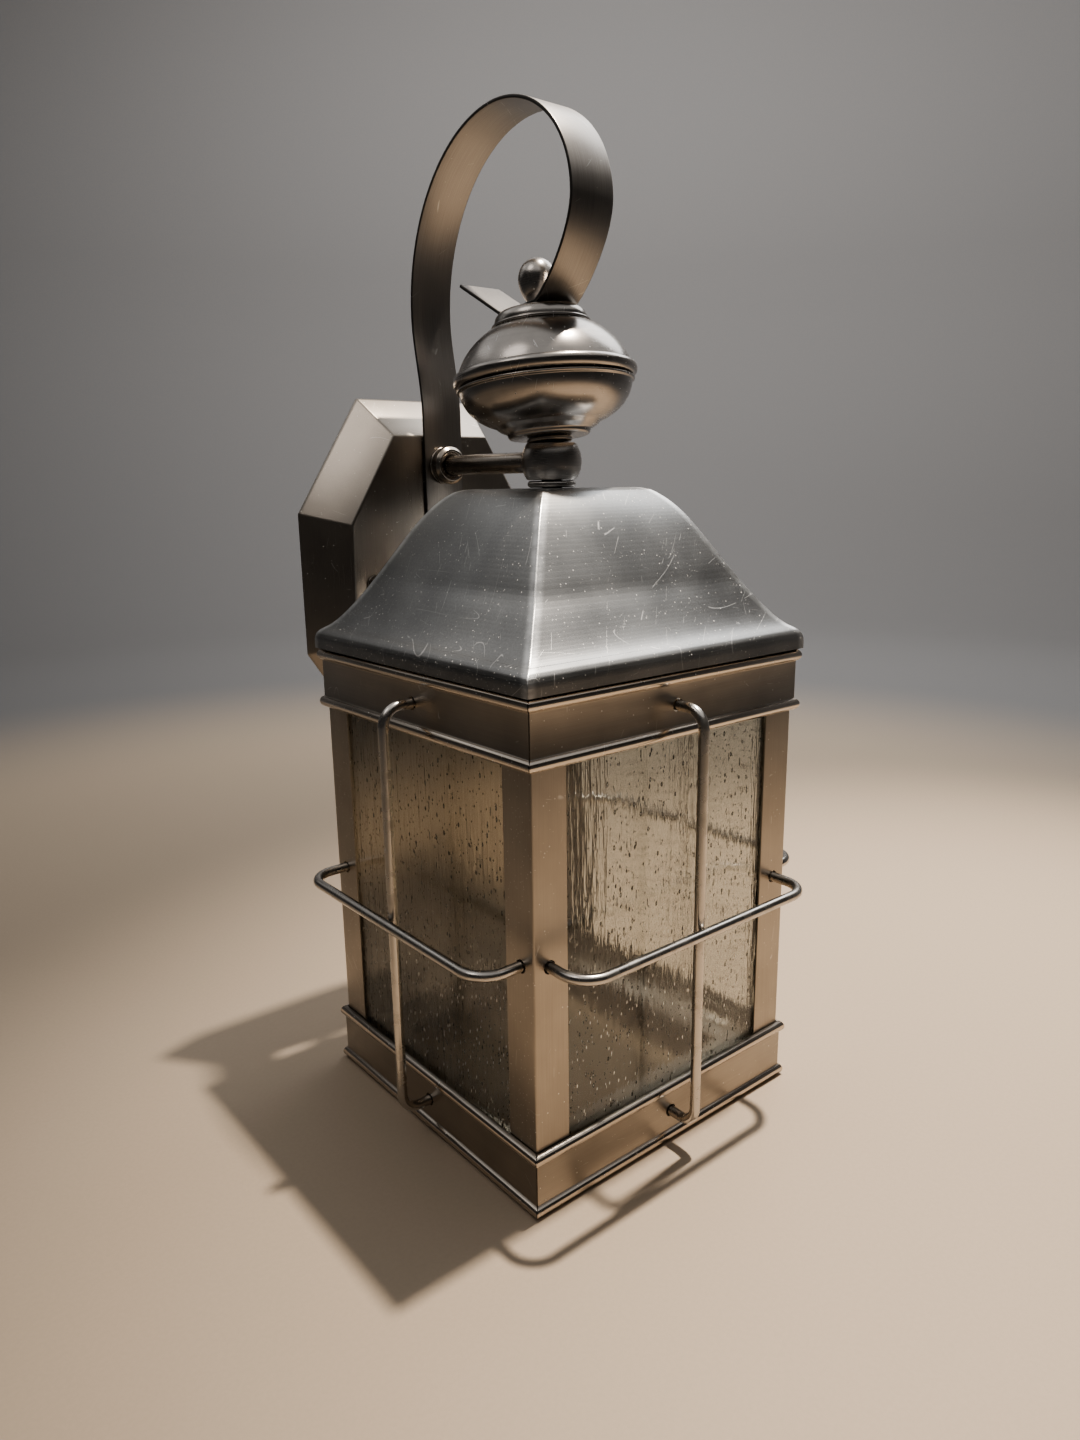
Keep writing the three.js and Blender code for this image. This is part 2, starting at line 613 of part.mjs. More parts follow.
// The strap's middle line in the plane x = 0, as [y, z]: flat on the plate, out behind, over in a loop, down onto
// the cap and up again in a short tail.
function strapLine() {
  const seatFront = fromFinial(-SEAT_FRONT, SEAT_Z);
  const seatBack = fromFinial(SEAT_BACK, SEAT_Z);
  const [, capTop] = fromFinial(0, SEAT_Z);
  const lift = ARM_HEIGHT + STRAP_LIFT;
  const back = [STRAP_Y + LOOP_BACK, capTop + LOOP_BACK_RISE];
  const front = [-LOOP_FRONT, capTop + LOOP_FRONT_RISE];
  const crest = capTop + LOOP_RISE;
  const third = (back[1] - lift) / 3;
  const tail = THREE.MathUtils.degToRad(TAIL_ANGLE);
  const bend = [seatBack[0] + 3, seatBack[1] + 0.2];
  return [
    [STRAP_Y, ARM_HEIGHT - STRAP_BELOW_ARM],
    ...bezier([STRAP_Y, lift], [STRAP_Y, lift + third], [back[0], back[1] - third], back, 8),
    ...ellipse(LOOP_CREST, back[1], back[0] - LOOP_CREST, crest - back[1], 0, 90, 14).slice(1),
    ...ellipse(LOOP_CREST, front[1], LOOP_CREST + LOOP_FRONT, crest - front[1], 90, 180, 12).slice(1),
    ...bezier(front, [front[0], front[1] - 16], [seatFront[0] - 6, seatFront[1] + 3], seatFront, 9).slice(1),
    seatBack,
    bend,
    [bend[0] + TAIL * Math.cos(tail), bend[1] + TAIL * Math.sin(tail)],
  ];
}

// Both faces of a strip of even thickness along a line.
function stripOutline(line, thickness) {
  const sideways = line.map(([y, z], i) => {
    const before = line[Math.max(i - 1, 0)];
    const after = line[Math.min(i + 1, line.length - 1)];
    const into = new THREE.Vector2(y - before[0], z - before[1]).normalize();
    const out = new THREE.Vector2(after[0] - y, after[1] - z).normalize();
    const along = into.clone().add(out).normalize();
    const stretch = 1 / Math.max(along.dot(out), along.dot(into));
    return [-along.y * stretch * (thickness / 2), along.x * stretch * (thickness / 2)];
  });
  const one = line.map(([y, z], i) => [y + sideways[i][0], z + sideways[i][1]]);
  const other = line.map(([y, z], i) => [y - sideways[i][0], z - sideways[i][1]]);
  return [...one, ...other.reverse()];
}

function scrollStrap() {
  const strip = slab(polygon(stripOutline(strapLine(), STRAP)), -STRAP_WIDTH / 2, STRAP_WIDTH / 2);
  strip.rotateX(Math.PI / 2).rotateZ(Math.PI / 2);
  const arm = barAlongY(ARM / 2 + RUN, STRAP_Y - 5, STRAP_Y + 5, 0, ARM_HEIGHT);
  const stud = bar(STUD_HOLE, SEAT_Z - 2, SEAT_Z + 2).rotateX(THREE.MathUtils.degToRad(-FINIAL_LEAN));
  return piece("scroll_strap", cut(strip, arm, stud.translate(0, 0, ARM_HEIGHT)), nickel);
}

// ---------- the arm ----------

function armPieces() {
  const start = PIPE / 2 + GAP;
  const inside = FACE_BACK + PLATE_SHEET;
  const end = inside + GAP + PIPE_NUT_HEIGHT + 2;
  const collarEnd = STRAP_Y - STRAP / 2 - GAP;
  const collarStart = collarEnd - COLLAR.length;
  const [r, hole] = [COLLAR.radius, ARM / 2 + RUN];
  const shoulder = ellipse(r - 3, collarStart + 3, 3, 3, -90, 0, 4);
  const alongY = (geometry) => geometry.rotateX(-Math.PI / 2).translate(0, 0, ARM_HEIGHT);
  const collar = turned([[hole, collarStart], ...shoulder, [r, collarEnd], [hole, collarEnd]]);
  const lockNut = hexagon(PIPE_NUT_ACROSS + 2);
  lockNut.holes.push(circle(hole));
  return [
    piece("arm_tube", alongY(tube(ARM / 2, ARM_BORE / 2, start, end)), nickel),
    piece("arm_collar", alongY(collar), spunNickel),
    piece("arm_lock_nut", alongY(slab(lockNut, inside + GAP, inside + GAP + PIPE_NUT_HEIGHT)), zincSteel),
  ];
}

// Two leads from the lampholder, up the pipe, through the ball and the arm, and down into the wall plate.
function leads() {
  const turn = ARM / 2;
  const end = FACE_BACK + PLATE_SHEET + PIPE_NUT_HEIGHT + 7;
  const low = HOLDER_TOP - HOLDER.floor + GAP;
  return [["lead_line", -1, blackSleeve], ["lead_neutral", 1, whiteSleeve]].map(([name, side, finish]) => {
    const x = side * (LEAD / 2 + RUN);
    const route = [[x, 0, low], [x, 0, ARM_HEIGHT], [x, end, ARM_HEIGHT], [x, end, ARM_HEIGHT - 34]];
    return piece(name, bentRod(route, turn, LEAD, 8), finish);
  });
}

// ---------- the wall plate, in the frame of the wall ----------

function octagon({ half, topHalf, shoulder, top }, y, inset = 0) {
  const [h, t, s, v] = [half - inset, topHalf - inset / 2, shoulder - inset / 2, top - inset];
  const corners = [[h, -s], [h, s], [t, v], [-t, v], [-h, s], [-h, -s], [-t, -v], [t, -v]];
  return corners.map(([x, z]) => new THREE.Vector3(x, y, z));
}

// A pressed pan: a flat octagonal face, sloping sides and a narrow flat lip turned in against the wall.
function wallPlate() {
  const face = -PLATE_DEPTH;
  const outside = new ConvexGeometry([...octagon(RIM, 0), ...octagon(FACE, face)]);
  const inside = new ConvexGeometry([
    ...octagon(RIM, -PLATE_SHEET, PLATE_SHEET * 1.5),
    ...octagon(FACE, face + PLATE_SHEET, PLATE_SHEET * 0.7),
  ]);
  const mouth = new ConvexGeometry([...octagon(RIM, 1, PLATE_LIP), ...octagon(RIM, -2 * PLATE_SHEET, PLATE_LIP)]);
  const arm = barAlongY(ARM / 2 + RUN, face - 5, face + 5, 0, ARM_ABOVE_PLATE);
  const fixings = [-1, 1].map((s) => barAlongY(FIXING / 2 + RUN, face - 5, face + 5, (s * FIXING_SPACING) / 2));
  return piece("wall_plate", cut(outside, inside, mouth, arm, ...fixings), nickel);
}

function slotPath(x, length, width) {
  const [run, r] = [(length - width) / 2, width / 2];
  const path = new THREE.Path();
  path.absarc(x + run, 0, r, -Math.PI / 2, Math.PI / 2);
  path.absarc(x - run, 0, r, Math.PI / 2, (3 * Math.PI) / 2);
  return path;
}

// A flat bar that screws to the box in the wall. The fixings stand out of it.
function crossbar() {
  const [half, w] = [CROSSBAR.length / 2, CROSSBAR.width / 2];
  const outline = rectangle(-half, -w, half, w);
  const at = FIXING_SPACING / 2;
  outline.holes.push(circle(FIXING / 2 + RUN, -at), circle(FIXING / 2 + RUN, at));
  outline.holes.push(slotPath(-at / 2, SLOT.length, SLOT.width), slotPath(at / 2, SLOT.length, SLOT.width));
  outline.holes.push(circle(FIXING / 2 + RUN));
  const flat = slab(outline, CROSSBAR.fromWall, CROSSBAR.fromWall + CROSSBAR.sheet, 5).rotateX(Math.PI / 2);
  return piece("wall_crossbar", flat, zincSteel);
}

// A screw along -Y with a pan head behind the crossbar.
function screw(reach, headRadius, headHeight) {
  const head = CROSSBAR.fromWall - GAP;
  const r = FIXING / 2;
  const profile = [
    [0, head - headHeight], [headRadius - 0.8, head - headHeight], [headRadius, head - headHeight + 0.8],
    [headRadius, head], [r, head], [r, reach], [0, reach],
  ];
  return turned(profile, 16).rotateX(Math.PI / 2);
}

// A hexagon with a round cap and a blind hole, along -Y from y = 0.
function capNut() {
  const { across, hex, dome } = CAP_NUT;
  const r = across / 2;
  const cap = ellipse(0, hex, r - 0.2, dome, 0, 90, 6).map(([x, z]) => [Math.max(x, 0), z]);
  cap.at(-1)[0] = 0;
  const domed = turned([[0, 1], [r - 0.2, 1], ...cap], 16);
  const hole = bar(FIXING / 2 + RUN, -1, FIXING_ENGAGED + 0.6, 14);
  return cut(joined(slab(hexagon(across), 0, hex), domed), hole).rotateX(Math.PI / 2);
}

function fixings() {
  const washerY = PLATE_DEPTH + GAP;
  const nutY = washerY + FIXING_WASHER.height + GAP;
  const reach = nutY + FIXING_ENGAGED;
  return [["left", -1], ["right", 1]].flatMap(([side, s]) => {
    const x = (s * FIXING_SPACING) / 2;
    const washer = tube(FIXING_WASHER.radius, FIXING / 2 + RUN, washerY, washerY + FIXING_WASHER.height);
    return [
      piece(`fixing_screw_${side}`, screw(reach, 3.8, 2.2).translate(x, 0, 0), zincSteel),
      piece(`fixing_washer_${side}`, washer.rotateX(Math.PI / 2).translate(x, 0, 0), spunNickel),
      piece(`cap_nut_${side}`, capNut().translate(x, -nutY, 0), spunNickel),
    ];
  });
}

function wallPieces() {
  const ground = piece("ground_screw", screw(CROSSBAR.fromWall + CROSSBAR.sheet + 5, 4, 2.4), brass);
  return [wallPlate(), crossbar(), ground, ...fixings()];
}

// ---------- the lampholder ----------

function lampholder() {
  const [h, cap, s] = [HOLDER, HOLDER_CAP, SHELL];
  const capLow = HOLDER_CAP_TOP - cap.height;
  const cup = turned([
    [PIPE_HOLE, HOLDER_CAP_TOP], [cap.radius - 3, HOLDER_CAP_TOP], [cap.radius, HOLDER_CAP_TOP - 3],
    [cap.radius, capLow], [cap.radius - 1, capLow], [cap.radius - 1, HOLDER_CAP_TOP - 3.4],
    [cap.radius - 3.4, HOLDER_CAP_TOP - 1], [PIPE_HOLE, HOLDER_CAP_TOP - 1],
  ]);
  const low = HOLDER_TOP - h.height;
  const floor = HOLDER_TOP - h.floor;
  const insulator = turned([
    [PIPE / 2, HOLDER_TOP], [h.radius, HOLDER_TOP], [h.radius, low + 1], [h.radius - 1, low], [h.bore, low],
    [h.bore, floor], [PIPE / 2, floor],
  ]);
  const crests = Array.from({ length: 2 * s.turns + 1 }, (_, i) => {
    return [s.radius - (i % 2 ? s.depth : 0), SHELL_TOP - 1 - (i * s.pitch) / 2];
  });
  const within = crests.map(([r, z]) => [r - s.wall, z]).reverse();
  const shell = turned([...crests, ...within], 16);
  const tongue = [
    [-6, SHELL_TOP - 1], [6, SHELL_TOP - 1], [6, SHELL_TOP - 1.8], [-3, SHELL_TOP - 1.8], [3, SHELL_TOP - 4.6],
    [3, SHELL_TOP - 5.4], [-6, SHELL_TOP - 1.8],
  ];
  const contact = slab(polygon(tongue), -2.5, 2.5).rotateX(Math.PI / 2);
  return [
    piece("lampholder_cap", cup, brass),
    piece("lampholder_insulator", insulator, porcelain),
    piece("lampholder_screw_shell", shell, brass),
    piece("lampholder_centre_contact", contact, brass),
  ];
}

// ---------- the assembly ----------

const lantern = new THREE.Group();
lantern.position.set(0, -AXIS_OUT, -PLATE_HEIGHT);
lantern.add(
  ...posts(),
  ...bands(),
  ...panes(),
  backPanel(),
  paneLedge(),
  topFrame(),
  ...guardWires(),
  roof(),
  ...axisPieces(),
  finial(),
  scrollStrap(),
  ...armPieces(),
  ...leads(),
  ...lampholder(),
);

const wallLantern = new THREE.Group();
wallLantern.add(lantern, ...wallPieces());

export default wallLantern;
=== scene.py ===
"""An outdoor wall lantern in satin nickel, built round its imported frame.

The lantern's own frame has its origin under the middle of the body, at the bottom of the base, with Z up and
the wall toward +Y. Sizes in that frame are millimetres, and each piece is brought into the row's frame, in
metres, when it is finished.
"""

import functools
import math

import bmesh
import bpy
from bpy.props import FloatProperty, FloatVectorProperty, IntProperty, PointerProperty
from mathutils import Matrix, Vector, noise
from mathutils.geometry import interpolate_bezier


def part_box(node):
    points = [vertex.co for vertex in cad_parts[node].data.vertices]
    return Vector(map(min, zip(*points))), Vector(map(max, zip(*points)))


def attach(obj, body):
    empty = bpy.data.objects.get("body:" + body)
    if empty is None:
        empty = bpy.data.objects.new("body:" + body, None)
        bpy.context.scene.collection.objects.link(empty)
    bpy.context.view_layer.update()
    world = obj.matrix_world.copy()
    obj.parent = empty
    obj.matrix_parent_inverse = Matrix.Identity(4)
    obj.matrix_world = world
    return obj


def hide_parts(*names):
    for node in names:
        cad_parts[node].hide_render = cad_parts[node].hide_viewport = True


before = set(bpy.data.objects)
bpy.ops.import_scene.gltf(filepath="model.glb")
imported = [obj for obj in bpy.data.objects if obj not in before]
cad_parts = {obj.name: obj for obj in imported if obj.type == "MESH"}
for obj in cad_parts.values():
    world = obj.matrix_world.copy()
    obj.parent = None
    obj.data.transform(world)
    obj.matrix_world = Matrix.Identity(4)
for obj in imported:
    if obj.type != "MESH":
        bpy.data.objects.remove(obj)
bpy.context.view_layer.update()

bl_info = {
    "name": "Wall Lantern",
    "version": (1, 0, 0),
    "blender": (4, 5, 0),
    "location": "View3D > Sidebar > Lantern",
    "description": "Builds a glazed wall lantern in satin nickel round its frame",
    "category": "Object",
}

MM = 0.001
LANTERN = "lantern"

# ---------- sizes taken from the frame ----------


def low_corner(node):
    return Vector(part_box(node)[0])


def high_corner(node):
    return Vector(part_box(node)[1])


def middle(node):
    return (low_corner(node) + high_corner(node)) / 2


FOOT = Vector((0, middle("pane_ledge").y, low_corner("base_band_front").z))
TO_ROW = Matrix.Translation(FOOT) @ Matrix.Scale(MM, 4)
FROM_WALL = Matrix.Scale(MM, 4)


# ---------- the body, in the lantern's millimetres ----------

GAP = 0.3
BODY_HALF = 81.7
BODY_HEIGHT = 229.6
SHEET = 1.0
POST_FLANGE = 18.5
POST_BOTTOM = 1.3
BAND_INNER = 82.0
BEAD = 3.0
TOP_BAND = (199.5, 229.6)
BASE_BAND = (0.0, 31.0)
BASE_RETURN = 7.0
SEAM = 0.35
PANE_OUTER = 80.4
PANE_INNER = 77.9
PANE_HALF = 68.0
PANE_HEIGHTS = (20.4, 209.15)
RAIL_HEIGHT = 114.8
RAIL_INSET = 8.5
LOW_WIRE = 15.5
HIGH_WIRE = 214.55
UPRIGHT_OUT = 98.1
RAIL_OUT = 103.2
UPRIGHT_BEND = 9.0
RAIL_BEND = 13.0
WIRE_DEPTH = 79.0
SIDES = (("front", 0, True), ("right", 90, True), ("rear", 180, False), ("left", 270, True))

GLASS_STRIDES = (2.4, 5.0)
GLASS_WAVE = (7, 40)
GLASS_SWELL = (26, 60)

# ---------- the roof and the axis ----------

EAVE = 229.9
ROOF_HALF = 85.3
ROOF_TOP_HALF = 31.5
ROOF_HEIGHT = 76.5
ROOF_TOP = EAVE + ROOF_HEIGHT
BRUISE = {"height": EAVE + 33, "reach": 5.0, "depth": 1.2, "width": 6}
UNEVEN = 0.22
ARM_HEIGHT = 318.6
PIPE_HOLE = 5.1
ROOF_HOLE = 5.2
LOWER_RING = (11.4, 3.2)
BALL_RADIUS = 14.25
BALL_FLAT = 8.4
UPPER_RING = (10.75, 2.2)
LEAN = math.radians(6)
STUD = 3.3
STUD_HOLE = 3.4
BOWL = {"foot": 19.25, "step": 25.0, "rim": 40.4, "step_height": 5.8, "height": 23.8, "z": 11.2}
DOME = {"rim": 43.0, "top": 23.0, "height": 25.0, "bead": 6.0, "z": 35.3}
CAP = {"lip": 23.0, "top": 18.0, "height": 6.9, "z": 60.6}
SEAT_Z = 68.6
WASHER = {"radius": 6.3, "height": 1.2, "z": 69.7}
ACORN = {"radius": 8.9, "foot": 4.6, "height": 19.8, "waist": 10.3, "z": 71.2}
FINIAL = Matrix.Translation((0, 0, ARM_HEIGHT)) @ Matrix.Rotation(-LEAN, 4, "X")

# ---------- the strap, the arm and the wall plate ----------

STRAP_WIDTH = 24.0
STRAP = 1.6
STRAP_Y = 90.4
STRAP_FOOT = ARM_HEIGHT - 29.0
STRAP_LIFT = ARM_HEIGHT + 26.0
STRAP_SEAT = (-11, 12)
STRAP_BACK = (6.6, 8)
STRAP_FRONT = (-28.6, 41)
STRAP_CREST = (24, 88)
TAIL = 35.0
TAIL_ANGLE = math.radians(28)
ARM_RADIUS = 5.0
ARM_BORE = 3.5
ARM_RUN = (5.3, 100.0)
COLLAR = {"radius": 9.75, "start": 81.3, "end": 89.3, "bore": 5.25}
PLATE_DEPTH = 26.5
PLATE_SHEET = 1.2
RIM = {"half": 74.0, "top_half": 36.0, "shoulder": 37.0, "top": 96.0}
FACE = {"half": 57.0, "top_half": 29.5, "shoulder": 31.0, "top": 76.0}
PLATE_LIP = 5.0
PLATE_FOLD = (-2.0, 0.45)
CAP_NUT = {"hexagon": 5.48, "flange": 4.75, "tall": 3.6, "dome": 4.3, "height": 8.1}
FIXING_WASHER = {"bore": 2.4, "radius": 5.6, "height": 0.8}


# ---------- settings that a user would change ----------


def millimetres(name, description, default, least, most):
    return FloatProperty(name=name, description=description, default=default, min=least, max=most)


def hue(name, description, default):
    return FloatVectorProperty(
        name=name, description=description, subtype="COLOR", size=3, min=0, max=1, default=default
    )


def watts(name, description, default):
    return FloatProperty(name=name, description=description, unit="POWER", default=default, min=0.0)


class LanternSizes(bpy.types.PropertyGroup):
    wire: millimetres("Guard wire", "Diameter of the guard wires, in millimetres", 4.8, 3.0, 5.0)
    wire_hole: millimetres(
        "Guard wire hole", "Diameter of the holes punched for the guard wires, in millimetres", 6.2, 5.2, 8.0
    )
    edge: millimetres("Folded edge", "Radius of the folded corner of a post, in millimetres", 0.9, 0.2, 1.5)
    hip: millimetres(
        "Roof hip", "The most that a rounded edge of the roof reaches each way, in millimetres", 5.0, 0.5, 6.0
    )
    wave: millimetres("Glass wave", "Depth of the waves drawn into the glass, in millimetres", 0.07, 0, 0.3)
    dents: IntProperty(
        name="Seed of unevenness", description="Seed of the slight unevenness of the pressed sheet", default=7
    )


class LanternColours(bpy.types.PropertyGroup):
    nickel: hue("Satin nickel", "The brushed sheet of the body, arm and plate", (0.43, 0.385, 0.335))
    roof: hue("Roof nickel", "The darker roof sheet", (0.36, 0.36, 0.355))
    spun: hue("Spun nickel", "The spun finial, the ball, the rings and the strap", (0.46, 0.43, 0.40))
    wire: hue("Wire nickel", "The polished guard wires", (0.58, 0.55, 0.51))
    glass: hue("Seeded glass", "Tint of the seeded glass", (0.72, 0.72, 0.685))


class StudioSettings(bpy.types.PropertyGroup):
    floor: hue("Floor", "The plain floor", (0.48, 0.385, 0.29))
    wall: hue("Backdrop", "The backdrop that rises from the floor", (0.18, 0.18, 0.183))
    ceiling_power: watts("Ceiling lamp", "Power of the lamp overhead", 250.0)
    right_power: watts("Right soft box", "Power of the soft box on the right", 6.0)
    left_power: watts("Left soft box", "Power of the slightly warm soft box on the left", 2.0)
    rear_power: watts("Rear soft box", "Power of the dim soft box behind, on the left", 0.55)
    glow_power: watts("Ceiling glow", "Power of the wide dim panel overhead", 13.0)
    backdrop_power: watts("Backdrop lamp", "Power of the lamp that lights the backdrop", 38.0)


# ---------- shader maths ----------


class Wire:
    """A node's output. Sums, products and comparisons with numbers or other outputs add Math nodes."""

    def __init__(self, finish, socket):
        self.finish = finish
        self.socket = socket

    def maths(self, operation, *values):
        return self.finish.out("ShaderNodeMath", {"operation": operation}, dict(enumerate(values)))

    def __add__(self, other):
        return self.maths("ADD", self, other)

    __radd__ = __add__

    def __sub__(self, other):
        return self.maths("SUBTRACT", self, other)

    def __rsub__(self, other):
        return self.maths("SUBTRACT", other, self)

    def __mul__(self, other):
        return self.maths("MULTIPLY", self, other)

    __rmul__ = __mul__

    def __truediv__(self, other):
        return self.maths("DIVIDE", self, other)

    def __pow__(self, other):
        return self.maths("POWER", self, other)

    def __gt__(self, other):
        return self.maths("GREATER_THAN", self, other)

    def __abs__(self):
        return self.maths("ABSOLUTE", self)

    def larger(self, other):
        return self.maths("MAXIMUM", self, other)


class Finish:
    """A material being made. Every node but the last comes from node(), and patterns have plain names."""

    def __init__(self, name):
        self.material = bpy.data.materials.new(name)
        self.material.use_nodes = True
        self.tree = self.material.node_tree
        self.tree.nodes.clear()
        self.end = self.tree.nodes.new("ShaderNodeOutputMaterial")

    def node(self, kind, settings=None, values=None):
        """Add a node: its settings first, then the value or link of each socket, by name or number."""
        node = self.tree.nodes.new(kind)
        for name, value in (settings or {}).items():
            setattr(node, name, value)
        for key, value in (values or {}).items():
            socket = node.inputs[key]
            if isinstance(value, Wire):
                self.tree.links.new(value.socket, socket)
            elif hasattr(socket.default_value, "__len__") and len(socket.default_value) == 4:
                socket.default_value = (*tuple(value)[:3], 1)
            else:
                socket.default_value = value
        return node

    def out(self, kind, settings=None, values=None, output=0):
        return Wire(self, self.node(kind, settings, values).outputs[output])

    def place(self, size, centre=(0, 0, 0), turn=(0, 0, 0)):
        """Where a point lies in a pattern whose cells have this size, in millimetres, round a centre in
        metres. A single number stands for all three sizes."""
        sizes = [size] * 3 if isinstance(size, (int, float)) else size
        values = {
            "Vector": self.out("ShaderNodeTexCoord", output="Object"),
            "Location": centre,
            "Rotation": [math.radians(angle) for angle in turn],
            "Scale": [s * MM for s in sizes],
        }
        return self.out("ShaderNodeMapping", {"vector_type": "TEXTURE"}, values)

    def parts(self, vector):
        node = self.node("ShaderNodeSeparateXYZ", values={"Vector": vector})
        return [Wire(self, socket) for socket in node.outputs]

    def measured(self, centre, turn=(0, 0, 0)):
        """The distances along the three axes from a centre, in millimetres."""
        return self.parts(self.place(1, centre, turn))

    def joined(self, x, y, z):
        return self.out("ShaderNodeCombineXYZ", values={"X": x, "Y": y, "Z": z})

    def noise_at(self, vector, detail, rough=0.5):
        values = {"Vector": vector, "Scale": 1, "Detail": detail, "Roughness": rough}
        return self.out("ShaderNodeTexNoise", None, values)

    def noise(self, size, detail, rough=0.5, turn=(0, 0, 0)):
        return self.noise_at(self.place(size, turn=turn), detail, rough)

    def ramp(self, value, low, high, to_low=0.0, to_high=1.0):
        values = {"Value": value, "From Min": low, "From Max": high, "To Min": to_low, "To Max": to_high}
        return self.out("ShaderNodeMapRange", {"interpolation_type": "SMOOTHSTEP"}, values)

    def specks(self, size, share, radius, soft=0.5, turn=(0, 0, 0)):
        """1 on small spots in a share of the cells of a pattern, fading out from soft * radius to the radius.
        Tall cells give upright dashes."""
        cells = self.node("ShaderNodeTexVoronoi", None, {"Vector": self.place(size, turn=turn), "Scale": 1})
        near = self.ramp(Wire(self, cells.outputs["Distance"]), radius, radius * soft)
        chance = self.parts(Wire(self, cells.outputs["Color"]))[0]
        return near * (chance > 1 - share)

    def scratches(self, share, turns):
        """Hairlines: the thin, nearly straight lines where noises that change slowly along two axes cross
        their middle, kept in patches."""
        gap, edge = SCRATCH_GAP, SCRATCH_WIDTH / SCRATCH_GAP
        layers = []
        for turn in turns:
            field = self.noise([gap * 8, gap, gap * 8], 0, turn=turn)
            line = self.ramp(abs(field - 0.5), edge, edge * 0.3)
            patch = self.noise([gap, gap * 1.3, gap], 1, turn=turn)
            layers.append(line * self.ramp(patch, 0.72 - share, 0.76 - share))
        return functools.reduce(Wire.larger, layers)

    def mix(self, factor, a, b):
        values = {0: factor, 6: a, 7: b}
        return self.out("ShaderNodeMix", {"data_type": "RGBA", "clamp_factor": True}, values, 2)

    def over(self, factor, under, upper):
        """One shader laid over another."""
        return self.out("ShaderNodeMixShader", None, {0: factor, 1: under, 2: upper})

    def bump(self, height, distance, strength, normal=None):
        """distance is how far, in millimetres, a height of 1 stands out."""
        values = {"Height": height, "Distance": distance * MM, "Strength": strength}
        if normal:
            values["Normal"] = normal
        return self.out("ShaderNodeBump", None, values)

    def surface(self, **sockets):
        names = {
            "colour": "Base Color",
            "metal": "Metallic",
            "rough": "Roughness",
            "normal": "Normal",
            "ior": "IOR",
            "transmission": "Transmission Weight",
            "coat": "Coat Weight",
            "coat_rough": "Coat Roughness",
        }
        values = {names[key]: value for key, value in sockets.items()}
        return self.out("ShaderNodeBsdfPrincipled", None, values)

    def done(self, shader):
        self.tree.links.new(shader.socket, self.end.inputs["Surface"])
        return self.material


# ---------- finishes, with their sizes in millimetres ----------

BRUSH_WIDTH = 0.22
BRUSH_LENGTH = 34
SCRATCH_GAP = 13
SCRATCH_WIDTH = 0.036
SCRATCH_TONE = (0.85, 0.84, 0.82)
SCRATCH_TURNS = ((0, 0, 20), (25, 40, 80), (60, -30, 130), (-20, 70, 200), (80, 10, 290))
FEW_TURNS = ((10, 20, 35), (50, -40, 110))
DUST_TONE = (0.82, 0.81, 0.78)
STRAP_DUST_TONE = (0.62, 0.60, 0.56)
RING_WIDTH = 0.32
SEEDS = (([4.6, 4.6, 9], 0.95, 0.14), ([2.4, 2.4, 4], 0.9, 0.14), ([3, 3, 22], 0.8, 0.11))
RAIN_LINE = (150, 75)
SEED_SHADE = (0.03, 0.03, 0.025)
DRIED_RAIN = (0.85, 0.82, 0.76)
SEED_GLEAM = (0.92, 0.91, 0.88)


def darker(colour, by):
    """A colour times a factor. Past 1 it is lighter."""
    return tuple(c * by for c in colour[:3])


def brush_marks(finish, along):
    """Fine marks drawn out along one axis."""
    size = [BRUSH_WIDTH] * 3
    size[along] = BRUSH_LENGTH
    return finish.noise(size, 3, 0.7)


def worn_metal(
    finish, colour, grain, rough, grain_depth,
    dust=1.0, scratch=1.0, painted_highlight_and_polish=None, painted_highlight_tone=2.2, polish=0.0, cloud=40,
):
    """Brushed plate: grain in the roughness and relief, cloudy tone, hairlines, dust specks, and a painted
    highlight, a lighter tone, with a real smoother polish where the mask given for it is 1."""
    clouds = finish.noise(cloud, 3)
    tone = finish.mix(finish.ramp(clouds, 0.3, 0.7), darker(colour, 0.86), darker(colour, 1.06))
    tone = finish.mix(finish.ramp(grain, 0.35, 0.65, 0.0, 0.22), tone, darker(colour, 0.6))
    roughness = rough + (grain - 0.5) * 0.14 + (clouds - 0.5) * 0.12
    # painted highlight: the colour is lifted where the mask is 1; the lower roughness there is real polish
    if painted_highlight_and_polish is not None:
        tone = finish.mix(painted_highlight_and_polish * 0.85, tone, darker(colour, painted_highlight_tone))
        roughness = roughness - painted_highlight_and_polish * polish
    lines = finish.scratches(0.09 * scratch, SCRATCH_TURNS)
    nicks = finish.specks(4, 0.16 * scratch, 0.08, 0.3)
    dusty = finish.specks(3, 0.30 * dust, 0.13, 0.6).larger(finish.specks(1.6, 0.18 * dust, 0.15, 0.6) * 0.8)
    tone = finish.mix(lines * 0.55, tone, SCRATCH_TONE)
    tone = finish.mix(nicks * 0.5, tone, darker(colour, 1.6))
    tone = finish.mix(dusty, tone, DUST_TONE)
    roughness = roughness + dusty * 0.3 + lines * 0.1
    relief = finish.bump(grain, grain_depth, 0.6)
    relief = finish.bump(clouds, 0.12, 0.5, relief)
    relief = finish.bump(1 - lines.larger(nicks), 0.015, 0.6, relief)
    return finish.surface(colour=tone, metal=1 - dusty * 0.9, rough=roughness, normal=relief)


def brushed(name, colour, along, rough=0.34, **more):
    """Satin sheet brushed along one axis."""
    finish = Finish(name)
    return finish.done(worn_metal(finish, colour, brush_marks(finish, along), rough, 0.012, **more))


